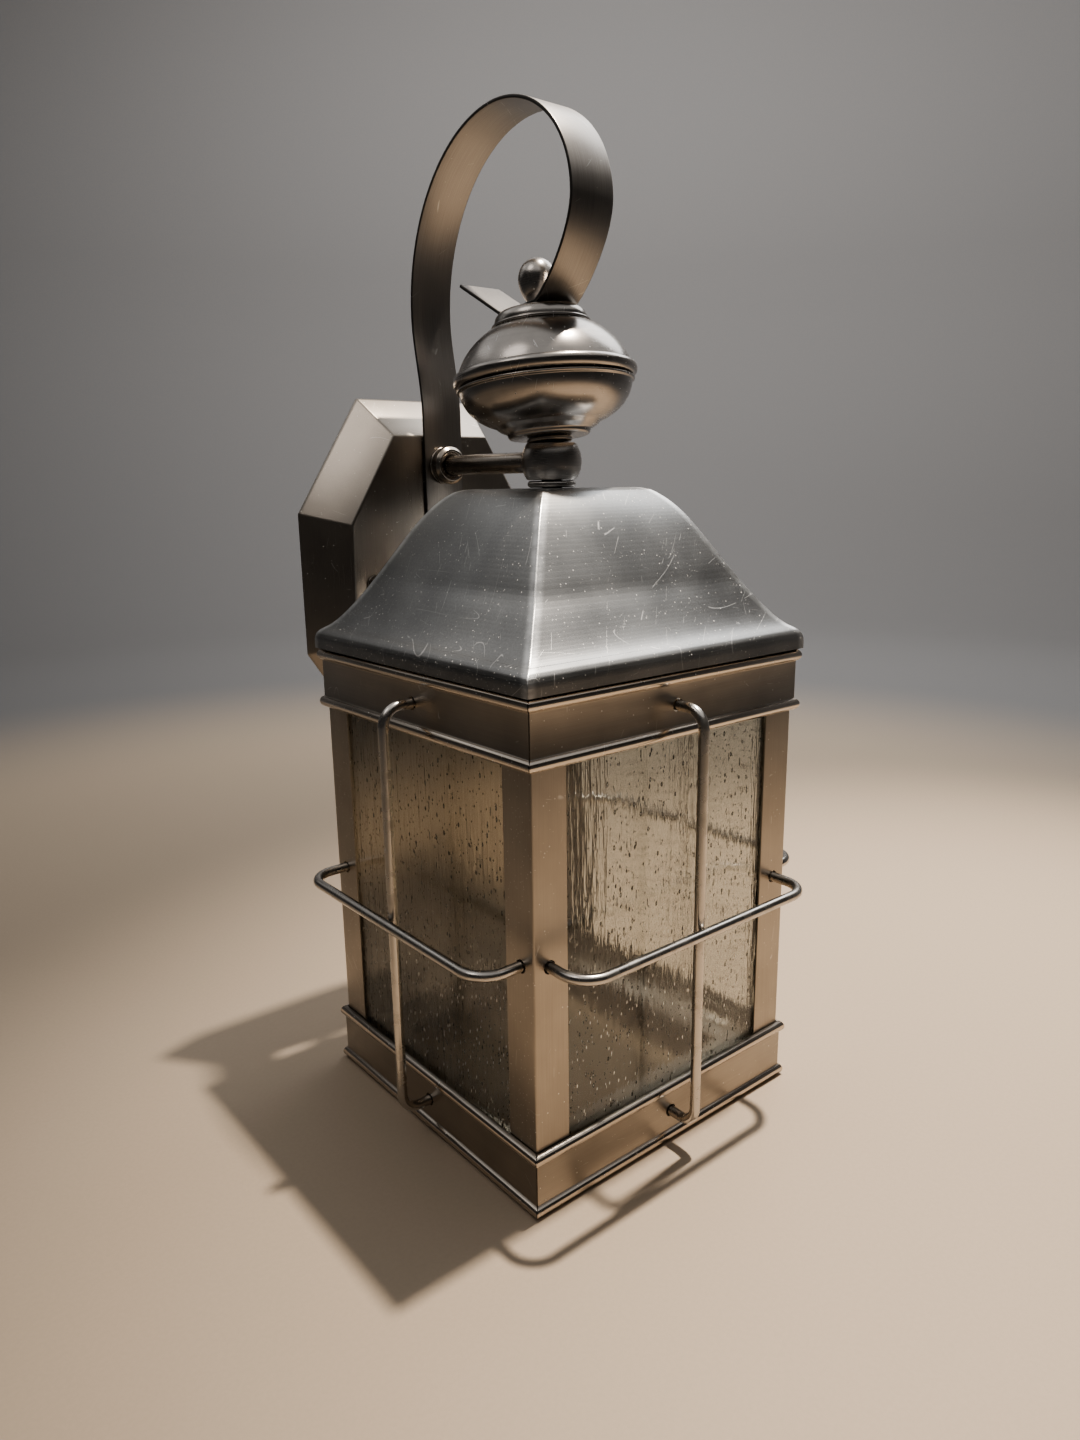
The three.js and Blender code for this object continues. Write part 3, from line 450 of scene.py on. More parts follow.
def banded(name, colour, along):
    """The band strips, brushed along their length, the beads smoother and painted lighter as highlight."""
    finish = Finish(name)
    x, y, _ = finish.measured(FOOT)
    bead = finish.ramp(abs(x).larger(abs(y)), BAND_INNER + 1.2, BAND_INNER + 2.4)
    # painted highlight on the beads: a lighter tone, with real polish
    wear_and_painted_highlight = {"dust": 0.6, "scratch": 0.6, "painted_highlight_and_polish": bead, "painted_highlight_tone": 1.55, "polish": 0.14}
    return finish.done(worn_metal(finish, colour, brush_marks(finish, along), 0.33, 0.010, **wear_and_painted_highlight))


def roof_sheet(name, colour):
    """Darker pressed sheet, dusty and scratched, with a painted highlight in patches along its hips."""
    finish = Finish(name)
    x, y, _ = finish.measured(FOOT)
    # painted highlight along each hip, broken into patches by the noise below
    hip = finish.ramp(abs(abs(x) - abs(y)), 5.4, 1.6)
    patchy = finish.ramp(finish.noise([7, 7, 5], 2), 0.3, 0.6, 0.5, 1.0)
    grain = finish.noise([1.1, 1.1, 0.8], 3)
    wear_and_painted_highlight = {"dust": 2.2, "scratch": 1.7, "painted_highlight_and_polish": hip * patchy, "cloud": 30}
    return finish.done(worn_metal(finish, colour, grain, 0.37, 0.004, **wear_and_painted_highlight))


def spun(name, colour, centre, turn=(0, 0, 0), rough=0.24):
    """Spun sheet or turned metal: fine rings round an axis, taken from the distance to it and the height."""
    finish = Finish(name)
    x, y, z = finish.measured(centre, turn)
    radius = (x * x + y * y) ** 0.5
    grain = finish.noise_at(finish.joined(radius / RING_WIDTH, 0.0, z / RING_WIDTH), 3)
    return finish.done(worn_metal(finish, colour, grain, rough, 0.008, dust=0.8, scratch=0.8, cloud=18))


def strap_sheet(name, colour):
    """The scroll strap, brushed along its own line, with its cut edges darker."""
    finish = Finish(name)
    along = finish.out("ShaderNodeAttribute", {"attribute_name": "along"}, output="Fac")
    across = finish.out("ShaderNodeAttribute", {"attribute_name": "across"}, output="Fac")
    grain = finish.noise_at(finish.joined(along / 40, across / 0.2, 0.0), 3, 0.7)
    edge = finish.ramp(abs(across), STRAP_WIDTH / 2 - 0.5, STRAP_WIDTH / 2 - 0.1)
    dust = finish.specks(2.4, 0.16, 0.11)
    tone = finish.mix(finish.ramp(grain, 0.3, 0.7), darker(colour, 0.80), darker(colour, 1.08))
    tone = finish.mix(edge * 0.8, tone, darker(colour, 0.25))
    tone = finish.mix(finish.scratches(0.10, FEW_TURNS) * 0.5, tone, SCRATCH_TONE)
    tone = finish.mix(dust, tone, STRAP_DUST_TONE)
    clouds = finish.noise(30, 3)
    roughness = 0.36 + (grain - 0.5) * 0.18 + (clouds - 0.5) * 0.14 + dust * 0.3
    relief = finish.bump(clouds, 0.15, 0.4, finish.bump(grain, 0.014, 0.6))
    return finish.done(finish.surface(colour=tone, metal=1 - dust * 0.9, rough=roughness, normal=relief))


def guard_wire(name, colour):
    """Polished drawn wire with small nicks and dull patches."""
    finish = Finish(name)
    drawn = finish.noise(0.5, 2)
    dull = finish.ramp(finish.noise(9, 3), 0.45, 0.7)
    pits = finish.specks(2.2, 0.22, 0.10, 0.3)
    marks = finish.specks(6, 0.28, 0.06)
    tone = finish.mix(dull * 0.5, colour, darker(colour, 0.72))
    tone = finish.mix(pits * 0.7, tone, darker(colour, 0.35))
    tone = finish.mix(marks * 0.8, tone, SCRATCH_TONE)
    roughness = 0.23 + dull * 0.12 + (drawn - 0.5) * 0.08 + marks * 0.3
    relief = finish.bump(1 - pits, 0.05, 0.8, finish.bump(drawn, 0.012, 0.5))
    return finish.done(finish.surface(colour=tone, metal=1.0, rough=roughness, normal=relief))


def seeded_glass(name, colour):
    """Clear drawn sheet full of seeds, with painted shade round each seed and painted glints at their
    hearts and on short upright dashes low down, with a faint haze of dried rain. Lamps reach through it.
    """
    finish = Finish(name)
    rim, heart = 0.0, 0.0
    for size, share, radius in SEEDS:
        rim = finish.specks(size, share, radius, 0.8).larger(rim)
        heart = finish.specks(size, share, radius * 0.55, 0.4).larger(heart)
    low = finish.ramp(finish.measured(FOOT)[2], *RAIN_LINE)
    # short upright dashes low down, in relief; the painted glints below light them
    dashes_with_painted_glint = finish.specks([2.1, 2.1, 8], 1.0, 0.155, turn=(4, 5, 0)) * low
    relief = finish.bump(finish.noise([2.6, 2.6, 60], 3, 0.6), 0.30, 0.6)
    relief = finish.bump(finish.noise([3.4, 3.4, 16], 2), 0.35, 0.5, relief)
    relief = finish.bump(rim, 0.20, 0.9, relief)
    relief = finish.bump(dashes_with_painted_glint, 0.10, 0.8, relief)
    haze = finish.ramp(finish.noise([24, 24, 34], 4) * low, 0.35, 0.75, 0.0, 0.16)
    sheet = {"metal": 0.0, "rough": haze + 0.02 + dashes_with_painted_glint * 0.12, "ior": 1.48, "transmission": 1.0}
    glass = finish.surface(colour=colour, normal=relief, **sheet)
    shade = finish.surface(colour=SEED_SHADE, metal=0.0, rough=0.12, normal=relief)
    dry = finish.surface(colour=DRIED_RAIN, metal=0.0, rough=0.5, normal=relief)
    gleam = finish.surface(colour=SEED_GLEAM, metal=1.0, rough=0.28, normal=relief)
    # painted shade: a near-black opaque ring round each seed
    glass = finish.over((rim - heart) * 0.95, glass, shade)
    glass = finish.over(haze * 0.3, glass, dry)
    # painted glints: bright mirror specks on the dashes and at the seeds' hearts
    glass = finish.over((dashes_with_painted_glint * 0.85).larger(heart * 0.4), glass, gleam)
    lamp_side = finish.out("ShaderNodeBsdfTransparent", None, {"Color": darker(colour, 0.6)})
    shadow = finish.out("ShaderNodeLightPath", output="Is Shadow Ray")
    return finish.done(finish.over(shadow, glass, lamp_side))


def plated(name, colour, rough, thread=None):
    """Zinc or brass plated hardware. thread is an axis number and a pitch, where the piece is a screw."""
    finish = Finish(name)
    grain = finish.noise(0.6, 3)
    stain = finish.noise(9, 4)
    tone = finish.mix(finish.ramp(stain, 0.35, 0.7), darker(colour, 1.05), darker(colour, 0.7))
    relief = finish.bump(grain, 0.02, 0.5)
    if thread:
        axis, pitch = thread
        place = finish.measured(FOOT)[axis]
        ridge = abs((place / pitch).maths("PINGPONG", place / pitch, 0.5))
        # painted shade in the thread's grooves
        tone = finish.mix(finish.ramp(ridge, 0.15, 0.0, 0.0, 0.6), tone, darker(colour, 0.3))
        relief = finish.bump(ridge, 0.9, 0.9, relief)
    roughness = rough + (grain - 0.5) * 0.12 + (stain - 0.5) * 0.2
    return finish.done(finish.surface(colour=tone, metal=1.0, rough=roughness, normal=relief))


def moulded(name, colour, rough, coat):
    """Glazed porcelain or a lead's plastic sleeve."""
    finish = Finish(name)
    grain = finish.noise(0.9, 3)
    tone = finish.mix(finish.ramp(finish.noise(12, 4), 0.4, 0.75), colour, darker(colour, 0.78))
    look = {"metal": 0.0, "rough": rough + (grain - 0.5) * 0.1, "coat": coat, "coat_rough": 0.15}
    return finish.done(finish.surface(colour=tone, normal=finish.bump(grain, 0.02, 0.5), **look))


FINISHES = {}


def make_finishes(scene):
    """Every finish of the lantern, once, by name."""
    c = scene.lantern_colours
    nickel, roof, spun_tone, wire, glass = (tuple(v) for v in (c.nickel, c.roof, c.spun, c.wire, c.glass))
    above = Vector((FOOT.x, FOOT.y, FOOT.z + ARM_HEIGHT * MM))
    wall_axis = Vector((0, 0, middle("arm_tube").z))
    FINISHES.update(
        post=brushed("nickel_brushed_upright", nickel, 2, dust=0.7, scratch=0.5),
        band_x=banded("nickel_band_across", darker(nickel, 0.96), 0),
        band_y=banded("nickel_band_deep", darker(nickel, 0.96), 1),
        # painted light: the nickel made 1.6 times lighter, so the sheet behind the glass looks lit
        sheet=brushed("nickel_inner_sheet_painted_light", darker(nickel, 1.6), 2, rough=0.32, dust=1.2, scratch=0.4),
        plate=brushed("nickel_wall_plate", nickel, 2, rough=0.31, dust=0.7, scratch=0.7),
        roof=roof_sheet("nickel_roof", roof),
        # painted light: the spun nickel made 1.15 times lighter for the ball and lower ring
        upright_turned=spun("nickel_turned_upright_painted_light", darker(spun_tone, 1.15), above, rough=0.28),
        finial=spun("nickel_spun_finial", spun_tone, above, (-math.degrees(LEAN), 0, 0)),
        level_turned=spun("nickel_turned_level", nickel, wall_axis, (90, 0, 0), 0.26),
        arm=brushed("nickel_arm", darker(nickel, 0.9), 1, rough=0.26, dust=0.5, scratch=0.5),
        strap=strap_sheet("nickel_strap", darker(spun_tone, 0.82)),
        wire=guard_wire("nickel_guard_wire", wire),
        glass=seeded_glass("glass_seeded", glass),
        zinc=plated("zinc_plated_steel", (0.55, 0.56, 0.57), 0.36),
        zinc_thread_up=plated("zinc_thread_upright", (0.52, 0.53, 0.54), 0.34, (2, 1.0)),
        zinc_thread_out=plated("zinc_thread_level", (0.52, 0.53, 0.54), 0.34, (1, 0.79375)),
        brass=plated("brass_contact", (0.72, 0.55, 0.26), 0.30),
        porcelain=moulded("porcelain_glazed", (0.80, 0.78, 0.72), 0.30, 0.8),
        black_sleeve=moulded("sleeve_black", (0.02, 0.02, 0.022), 0.5, 0.0),
        white_sleeve=moulded("sleeve_white", (0.72, 0.70, 0.65), 0.5, 0.0),
    )


# ---------- making meshes ----------


def arc(cx, cy, rx, ry, start, end, steps):
    """Points on an ellipse, angles in degrees."""
    turns = [math.radians(start + (end - start) * i / steps) for i in range(steps + 1)]
    return [(cx + rx * math.cos(a), cy + ry * math.sin(a)) for a in turns]


def curve(a, b, c, d, steps):
    """Points on a cubic curve between a and d."""
    points = [Vector((*p, 0)) for p in (a, b, c, d)]
    return [(p.x, p.y) for p in interpolate_bezier(*points, steps + 1)]


def filleted(points, radius, closed=False, steps=3, least=20):
    """The same outline with each corner sharper than so many degrees rounded off."""
    result = []
    count = len(points)
    for i, point in enumerate(points):
        p = Vector(point)
        inner = closed or 0 < i < count - 1
        before = Vector(points[i - 1]) - p if inner else None
        after = Vector(points[(i + 1) % count]) - p if inner else None
        if not inner or before.length < 1e-6 or after.length < 1e-6:
            result.append(tuple(p))
            continue
        bend = math.pi - before.angle(after)
        if bend < math.radians(least):
            result.append(tuple(p))
            continue
        reach = min(radius * math.tan(bend / 2), before.length * 0.45, after.length * 0.45)
        start = p + before.normalized() * reach
        end = p + after.normalized() * reach
        for k in range(steps + 1):
            t = k / steps
            result.append(tuple(start * (1 - t) ** 2 + p * 2 * t * (1 - t) + end * t * t))
    return result


def tidy(bm, distance=1e-4):
    bmesh.ops.remove_doubles(bm, verts=bm.verts, dist=distance)
    bmesh.ops.recalc_face_normals(bm, faces=bm.faces)


def turned(profile, steps=96, closed=True):
    """Spin a profile of (radius, height) pairs about Z. It closes on itself, or runs from axis to axis."""
    bm = bmesh.new()
    verts = [bm.verts.new((r, 0, z)) for r, z in profile]
    edges = [bm.edges.new(pair) for pair in zip(verts, verts[1:])]
    if closed:
        edges.append(bm.edges.new((verts[-1], verts[0])))
    bmesh.ops.spin(
        bm, geom=verts + edges, cent=(0, 0, 0), axis=(0, 0, 1), dvec=(0, 0, 0), angle=2 * math.pi,
        steps=steps, use_merge=True,
    )
    tidy(bm)
    return bm


def drawn_out(bm, points):
    """Fill a ring of points and extrude the face, still in place. The new vertices come back."""
    face = bm.faces.new([bm.verts.new(point) for point in points])
    grown = bmesh.ops.extrude_face_region(bm, geom=[face])["geom"]
    return [g for g in grown if isinstance(g, bmesh.types.BMVert)]


def upright_bar(outline, low, high):
    """A flat outline in plan, drawn out upward from one height to another."""
    bm = bmesh.new()
    verts = drawn_out(bm, [(a, b, low) for a, b in outline])
    bmesh.ops.translate(bm, verts=verts, vec=(0, 0, high - low))
    bmesh.ops.recalc_face_normals(bm, faces=bm.faces)
    return bm


def frame_at(line, i, across):
    """A turn and shift that puts a section square to the line at its i-th point."""
    before = line[max(i - 1, 0)]
    after = line[min(i + 1, len(line) - 1)]
    ahead = (after - before).normalized()
    out = ahead.cross(across).normalized()
    turn = Matrix((across, out, ahead)).transposed().to_4x4()
    return Matrix.Translation(line[i]) @ turn


def swept(section, line, across):
    """Carry a closed section of (across, out) pairs along a line in one plane, with both ends closed. The
    distance along the line and across it is kept on each vertex."""
    bm = bmesh.new()
    along = bm.verts.layers.float.new("along")
    sideways = bm.verts.layers.float.new("across")
    place = frame_at(line, 0, across)
    ring = [bm.verts.new(place @ Vector((a, b, 0))) for a, b in section]
    for vert, (a, _) in zip(ring, section):
        vert[sideways] = a
    edges = [bm.edges.new((ring[i - 1], ring[i])) for i in range(len(ring))]
    bmesh.ops.edgenet_fill(bm, edges=edges)
    travelled = 0.0
    for i in range(1, len(line)):
        grown = bmesh.ops.extrude_edge_only(bm, edges=edges)["geom"]
        edges = [g for g in grown if isinstance(g, bmesh.types.BMEdge)]
        verts = [g for g in grown if isinstance(g, bmesh.types.BMVert)]
        onward = frame_at(line, i, across)
        bmesh.ops.transform(bm, matrix=onward @ place.inverted(), verts=verts)
        place = onward
        travelled += (line[i] - line[i - 1]).length
        for vert in verts:
            vert[along] = travelled
    bmesh.ops.edgenet_fill(bm, edges=edges)
    bmesh.ops.recalc_face_normals(bm, faces=bm.faces)
    return bm


def round_off(bm, edges, width, segments):
    bmesh.ops.bevel(
        bm, geom=edges, offset=width, offset_type="OFFSET", segments=segments, profile=0.5, affect="EDGES",
        material=-1, clamp_overlap=True,
    )


def soften(bm, width, angle=40, segments=2):
    """Round every edge that is sharper than an angle."""
    round_off(bm, [e for e in bm.edges if e.is_manifold and fold_angle(e) > angle], width, segments)


def fold_angle(edge):
    """The angle between an edge's two faces, in degrees."""
    return math.degrees(edge.calc_face_angle(0))


def cut_bars(bm, bars):
    """Take round bars out of a solid. Each bar is its middle, its direction, its radius and its length."""
    if not bars:
        return bm
    cutter = bmesh.new()
    for centre, direction, radius, length in bars:
        turn = Vector(direction).to_track_quat("Z", "Y").to_matrix().to_4x4()
        bmesh.ops.create_cone(
            cutter, cap_ends=True, segments=32, radius1=radius, radius2=radius, depth=length,
            matrix=Matrix.Translation(centre) @ turn,
        )
    objects = []
    for mesh_source, name in ((bm, "sheet"), (cutter, "punch")):
        mesh = bpy.data.meshes.new(name)
        mesh_source.to_mesh(mesh)
        mesh_source.free()
        objects.append(bpy.data.objects.new(name, mesh))
        bpy.context.scene.collection.objects.link(objects[-1])
    sheet, punch = objects
    modifier = sheet.modifiers.new("holes", "BOOLEAN")
    modifier.operation = "DIFFERENCE"
    modifier.solver = "EXACT"
    modifier.object = punch
    bpy.context.view_layer.update()
    result = sheet.evaluated_get(bpy.context.evaluated_depsgraph_get())
    pierced = bmesh.new()
    pierced.from_mesh(result.to_mesh())
    result.to_mesh_clear()
    for item in objects:
        mesh = item.data
        bpy.data.objects.remove(item)
        bpy.data.meshes.remove(mesh)
    return pierced


def finished(bm, name, material, nodes, body=LANTERN, place=TO_ROW, turn=None, smooth=35):
    """Turn a mesh into a piece of the lantern that rides on a body and stands for CAD nodes."""
    if turn is not None:
        bmesh.ops.transform(bm, matrix=turn, verts=bm.verts)
    bmesh.ops.transform(bm, matrix=place, verts=bm.verts)
    mesh = bpy.data.meshes.new(name)
    bm.to_mesh(mesh)
    bm.free()
    mesh.materials.append(FINISHES[material])
    mesh.shade_smooth()
    mesh.set_sharp_from_angle(angle=math.radians(smooth))
    piece = bpy.data.objects.new(name, mesh)
    bpy.context.scene.collection.objects.link(piece)
    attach(piece, body)
    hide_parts(*nodes)
    return piece


def softened_copy(node, name, material, width=0.25, body=LANTERN, angle=40):
    """A copy of a CAD node with its flat faces made whole and its edges rounded."""
    bm = bmesh.new()
    bm.from_mesh(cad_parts[node].data)
    bmesh.ops.remove_doubles(bm, verts=bm.verts, dist=1e-6)
    bmesh.ops.dissolve_limit(bm, angle_limit=math.radians(0.5), verts=bm.verts, edges=bm.edges)
    soften(bm, width * MM, angle)
    return finished(bm, name, material, [node], body, Matrix.Identity(4))


def round_to(turn):
    """A turn about the upright axis, in degrees."""
    return Matrix.Rotation(math.radians(turn), 4, "Z")


# ---------- the stage, in metres, and the camera, in the lantern's millimetres and radians ----------

CAMERA_PLACE = Vector((-312.847, -369.715, 309.240))
CAMERA_AZIMUTH = -0.687348
CAMERA_PITCH = 0.234824
CAMERA_ROLL = -0.0150165
LENS = 24.857
STAGE_REACH = 2.6
COVE = 0.9
STAGE_TOP = 2.4
FLOOR_GAP = 0.0002
FLOOR_FADE = (0.32, 0.85)
LAMP_AIM = (0, 0, 0.25)


def hung(name, lamp, place, aim, power, colour):
    """Hang a lamp at a place and point it at another."""
    lamp.energy = power
    lamp.color = colour
    holder = bpy.data.objects.new(name, lamp)
    holder.location = place
    holder.rotation_euler = (aim - place).to_track_quat("-Z", "Y").to_euler()
    bpy.context.scene.collection.objects.link(holder)


def soft_box(name, place, aim, size, power, colour):
    lamp = bpy.data.lights.new(name, "AREA")
    lamp.shape = "DISK"
    lamp.size = size
    hung(name, lamp, place, aim, power, colour)


def ceiling_lamp(place, aim, power):
    """A downlight with a soft-edged pool of warm light."""
    lamp = bpy.data.lights.new("ceiling_lamp", "SPOT")
    lamp.shadow_soft_size = 0.035
    lamp.spot_size = math.radians(37)
    lamp.spot_blend = 1.0
    hung("ceiling_lamp", lamp, place, aim, power, (1, 0.90, 0.79))


def floor_finish(studio):
    """A plain pale floor with painted shade that darkens it, away from the lantern, into the backdrop."""
    finish = Finish("plain_floor")
    x, y, height = finish.parts(finish.out("ShaderNodeTexCoord", output="Object"))
    away = (x * x + y * y) ** 0.5
    # painted shade: the floor darkens away from the lantern and blends into the backdrop's own colour
    wall = finish.ramp(away + height, *FLOOR_FADE)
    grain = finish.noise(2, 3)
    tone = finish.mix(wall, studio.floor, studio.wall)
    tone = finish.mix(finish.ramp(grain, 0.3, 0.7, 0.0, 0.1), tone, darker(studio.floor, 0.7))
    return finish.done(finish.surface(colour=tone, metal=0.0, rough=0.7, normal=finish.bump(grain, 0.1, 0.3)))


def view_turn():
    """The camera's turn, from its azimuth, pitch and roll."""
    pitch, azimuth = CAMERA_PITCH, CAMERA_AZIMUTH
    level = math.cos(pitch)
    ahead = Vector((-math.sin(azimuth) * level, math.cos(azimuth) * level, -math.sin(pitch)))
    right = Vector((math.cos(azimuth), math.sin(azimuth), 0))
    up = right.cross(ahead)
    c, s = math.cos(CAMERA_ROLL), math.sin(CAMERA_ROLL)
    return Matrix((c * right + s * up, c * up - s * right, -ahead)).transposed().to_4x4()


class LANTERN_OT_stage(bpy.types.Operator):
    """Set the floor with its backdrop, the lamps and the camera"""

    bl_idname = "lantern.stage"
    bl_label = "Stage"

    def execute(self, context):
        studio = context.scene.lantern_studio
        self.lay_floor(studio)
        self.hang_lamps(studio)
        self.set_room(context.scene)
        self.set_camera(context.scene)
        return {"FINISHED"}

    @staticmethod
    def lay_floor(studio):
        profile = [(0, 0), (STAGE_REACH - COVE, 0)]
        profile += arc(STAGE_REACH - COVE, COVE, COVE, COVE, -90, 0, 12)[1:]
        profile += [(STAGE_REACH, STAGE_TOP)]
        bm = turned(profile, closed=False)
        if min(bm.faces, key=lambda f: f.calc_center_median().z).normal.z < 0:
            bmesh.ops.reverse_faces(bm, faces=bm.faces)
        bmesh.ops.translate(bm, verts=bm.verts, vec=(0, FOOT.y, FOOT.z - FLOOR_GAP))
        mesh = bpy.data.meshes.new("floor_and_backdrop")
        bm.to_mesh(mesh)
        bm.free()
        mesh.shade_smooth()
        mesh.materials.append(floor_finish(studio))
        floor = bpy.data.objects.new("floor_and_backdrop", mesh)
        bpy.context.scene.collection.objects.link(floor)

    @staticmethod
    def hang_lamps(studio):
        """Places and aims are metres from the foot of the lantern."""
        above, pool = Vector((0.452, -0.079, 2.0)), Vector((0.18, -0.19, 0))
        ceiling_lamp(FOOT + above, FOOT + pool, studio.ceiling_power)
        for name, place, aim, size, power, tint in (
            ("right_soft_box", (1.122, 0.272, 1.372), LAMP_AIM, 1.0, studio.right_power, (0.96, 0.98, 1)),
            ("left_soft_box", (-1.0, 0.14, 1.7), LAMP_AIM, 0.7, studio.left_power, (1, 0.93, 0.88)),
            ("rear_soft_box", (-0.6, 1.35, 1.2), LAMP_AIM, 1.0, studio.rear_power, (1, 0.99, 0.98)),
            ("ceiling_glow", (0.15, 0.2, 1.55), (0.15, 0.2, 0.55), 3.4, studio.glow_power, (1, 0.99, 0.98)),
            ("backdrop_lamp", (0.6, 0.75, 1.7), (2.1, 1.6, 0.8), 0.9, studio.backdrop_power, (1, 0.97, 0.94)),
        ):
            soft_box(name, FOOT + Vector(place), FOOT + Vector(aim), size, power, tint)

    @staticmethod
    def set_room(scene):
        world = bpy.data.worlds.new("room")
        world.use_nodes = True
        shade = world.node_tree.nodes["Background"]
        shade.inputs["Color"].default_value = (0.60, 0.61, 0.63, 1)
        shade.inputs["Strength"].default_value = 0.05
        scene.world = world
        scene.view_settings.look = "AgX - Medium High Contrast"

    @staticmethod
    def set_camera(scene):
        lens = bpy.data.cameras.new("view")
        lens.sensor_fit = "VERTICAL"
        lens.sensor_height = 36
        lens.lens = LENS
        lens.clip_start = 0.01
        camera = bpy.data.objects.new("view", lens)
        camera.matrix_world = Matrix.Translation(TO_ROW @ CAMERA_PLACE) @ view_turn()
        scene.collection.objects.link(camera)
        scene.camera = camera


# ---------- the body ----------


def band_section(z0, z1, returned):
    """The strip's section, as (out, height): a half-round bead at each edge and a flat face between them."""
    turn_in = math.degrees(math.acos(SHEET / BEAD))
    low = arc(BAND_INNER, z0 + BEAD, BEAD, BEAD, -90, turn_in, 14)
    high = arc(BAND_INNER, z1 - BEAD, BEAD, BEAD, -turn_in, 90, 14)
    deep = BAND_INNER - BASE_RETURN
    lip = [(BAND_INNER, z0 + SHEET), (deep, z0 + SHEET), (deep, z0)]
    return low + high + (lip if returned else [])


def band(z0, z1, returned):
    """One strip along X on the front, its ends sheared to the mitre and softened there."""
    bm = bmesh.new()
    far = drawn_out(bm, [(0, -out, z) for out, z in band_section(z0, z1, returned)])
    near = [v for v in bm.verts if v not in set(far)]
    for verts, way in ((near, 1), (far, -1)):
        mitre = Matrix.Identity(4)
        mitre[0][1] = way
        mitre[0][3] = way * SEAM / 2
        bmesh.ops.transform(bm, matrix=mitre, verts=verts)
    bmesh.ops.recalc_face_normals(bm, faces=bm.faces)
    soften(bm, 0.28, 50)
    return bm


class LANTERN_OT_bands(bpy.types.Operator):
    """Make the eight mitred band strips, pierced for the guard wires"""

    bl_idname = "lantern.bands"
    bl_label = "Bands"

    def execute(self, context):
        radius = context.scene.lantern_sizes.wire_hole / 2
        for side, turn, glazed in SIDES:
            material = "band_x" if side in ("front", "rear") else "band_y"
            for level, (z0, z1), hole in (("top", TOP_BAND, HIGH_WIRE), ("base", BASE_BAND, LOW_WIRE)):
                bm = band(z0, z1, level == "base")
                if glazed:
                    bm = cut_bars(bm, [((0, -BAND_INNER, hole), (0, 1, 0), radius, 4 * SHEET)])
                node = f"{level}_band_{side}"
                name = f"{level}_band_strip_{side}"
                finished(bm, name, material, [node], turn=round_to(turn))
        return {"FINISHED"}


class LANTERN_OT_posts(bpy.types.Operator):
    """Make the four folded corner posts, pierced for the guard rails"""

    bl_idname = "lantern.posts"
    bl_label = "Corner posts"

    def execute(self, context):
        fold, radius = context.scene.lantern_sizes.edge, context.scene.lantern_sizes.wire_hole / 2
        half, inner, edge = BODY_HALF, BODY_HALF - SHEET, BODY_HALF - POST_FLANGE
        at = BODY_HALF - RAIL_INSET
        outline = arc(-half + fold, -half + fold, fold, fold, 180, 270, 5)
        outline += [(-edge, -half), (-edge, -inner), (-inner, -inner), (-inner, -edge), (-half, -edge)]
        on_front = ((-at, -half, RAIL_HEIGHT), (0, 1, 0), radius, 4 * SHEET)
        on_side = ((-half, -at, RAIL_HEIGHT), (1, 0, 0), radius, 4 * SHEET)
        for name, turn, holes in (
            ("front_left", 0, [on_front, on_side]),
            ("front_right", 90, [on_front, on_side]),
            ("rear_right", 180, [on_side]),
            ("rear_left", 270, [on_front]),
        ):
            bm = upright_bar(outline, POST_BOTTOM, BODY_HEIGHT - GAP)
            soften(bm, 0.2, 60, 1)
            bm = cut_bars(bm, holes)
            node = f"corner_post_{name}"
            finished(bm, f"folded_post_{name}", "post", [node], turn=round_to(turn))
        return {"FINISHED"}


def wavy_pane(number, wave):
    """One pane on the front: a softened slab cut into a fine grid, with waves pressed into both faces."""
    low, high = PANE_HEIGHTS
    size = Matrix.Diagonal((2 * PANE_HALF, PANE_OUTER - PANE_INNER, high - low, 1))
    centre = Matrix.Translation((0, -(PANE_OUTER + PANE_INNER) / 2, (low + high) / 2))
    bm = bmesh.new()
    bmesh.ops.create_cube(bm, size=1, matrix=centre @ size)
    soften(bm, 0.35, 60, 2)
    across, up = GLASS_STRIDES
    for normal, start, length, step in (
        (Vector((1, 0, 0)), -PANE_HALF, 2 * PANE_HALF, across),
        (Vector((0, 0, 1)), low, high - low, up),
    ):
        for k in range(1, int(length / step)):
            geometry = bm.verts[:] + bm.edges[:] + bm.faces[:]
            point = normal * (start + k * step)
            bmesh.ops.bisect_plane(bm, geom=geometry, dist=1e-5, plane_co=point, plane_no=normal)
    for face, (y, inward) in enumerate(((-PANE_OUTER, 1), (-PANE_INNER, -1))):
        own = number + 4 * face
        for vert in bm.verts:
            if abs(vert.co.y - y) > 1e-4:
                continue
            x, z = vert.co.x, vert.co.z
            fine = noise.noise(Vector((x / GLASS_WAVE[0], 31 * own, z / GLASS_WAVE[1])))
            broad = noise.noise(Vector((x / GLASS_SWELL[0], 17 * own, z / GLASS_SWELL[1])))
            vert.co.y += inward * abs(fine + broad * 2) * wave
    return bm


class LANTERN_OT_panes(bpy.types.Operator):
    """Make the three panes of drawn glass with waves in both faces, and the angles that hold them"""

    bl_idname = "lantern.panes"
    bl_label = "Glass panes"

    def execute(self, context):
        wave = context.scene.lantern_sizes.wave
        for number, (side, turn, glazed) in enumerate(SIDES):
            if glazed:
                bm = wavy_pane(number, wave)
                node = f"glass_pane_{side}"
                finished(bm, f"seeded_pane_{side}", "glass", [node], turn=round_to(turn))
                softened_copy(f"pane_retainer_{side}", f"pane_angle_{side}", "sheet")
        return {"FINISHED"}


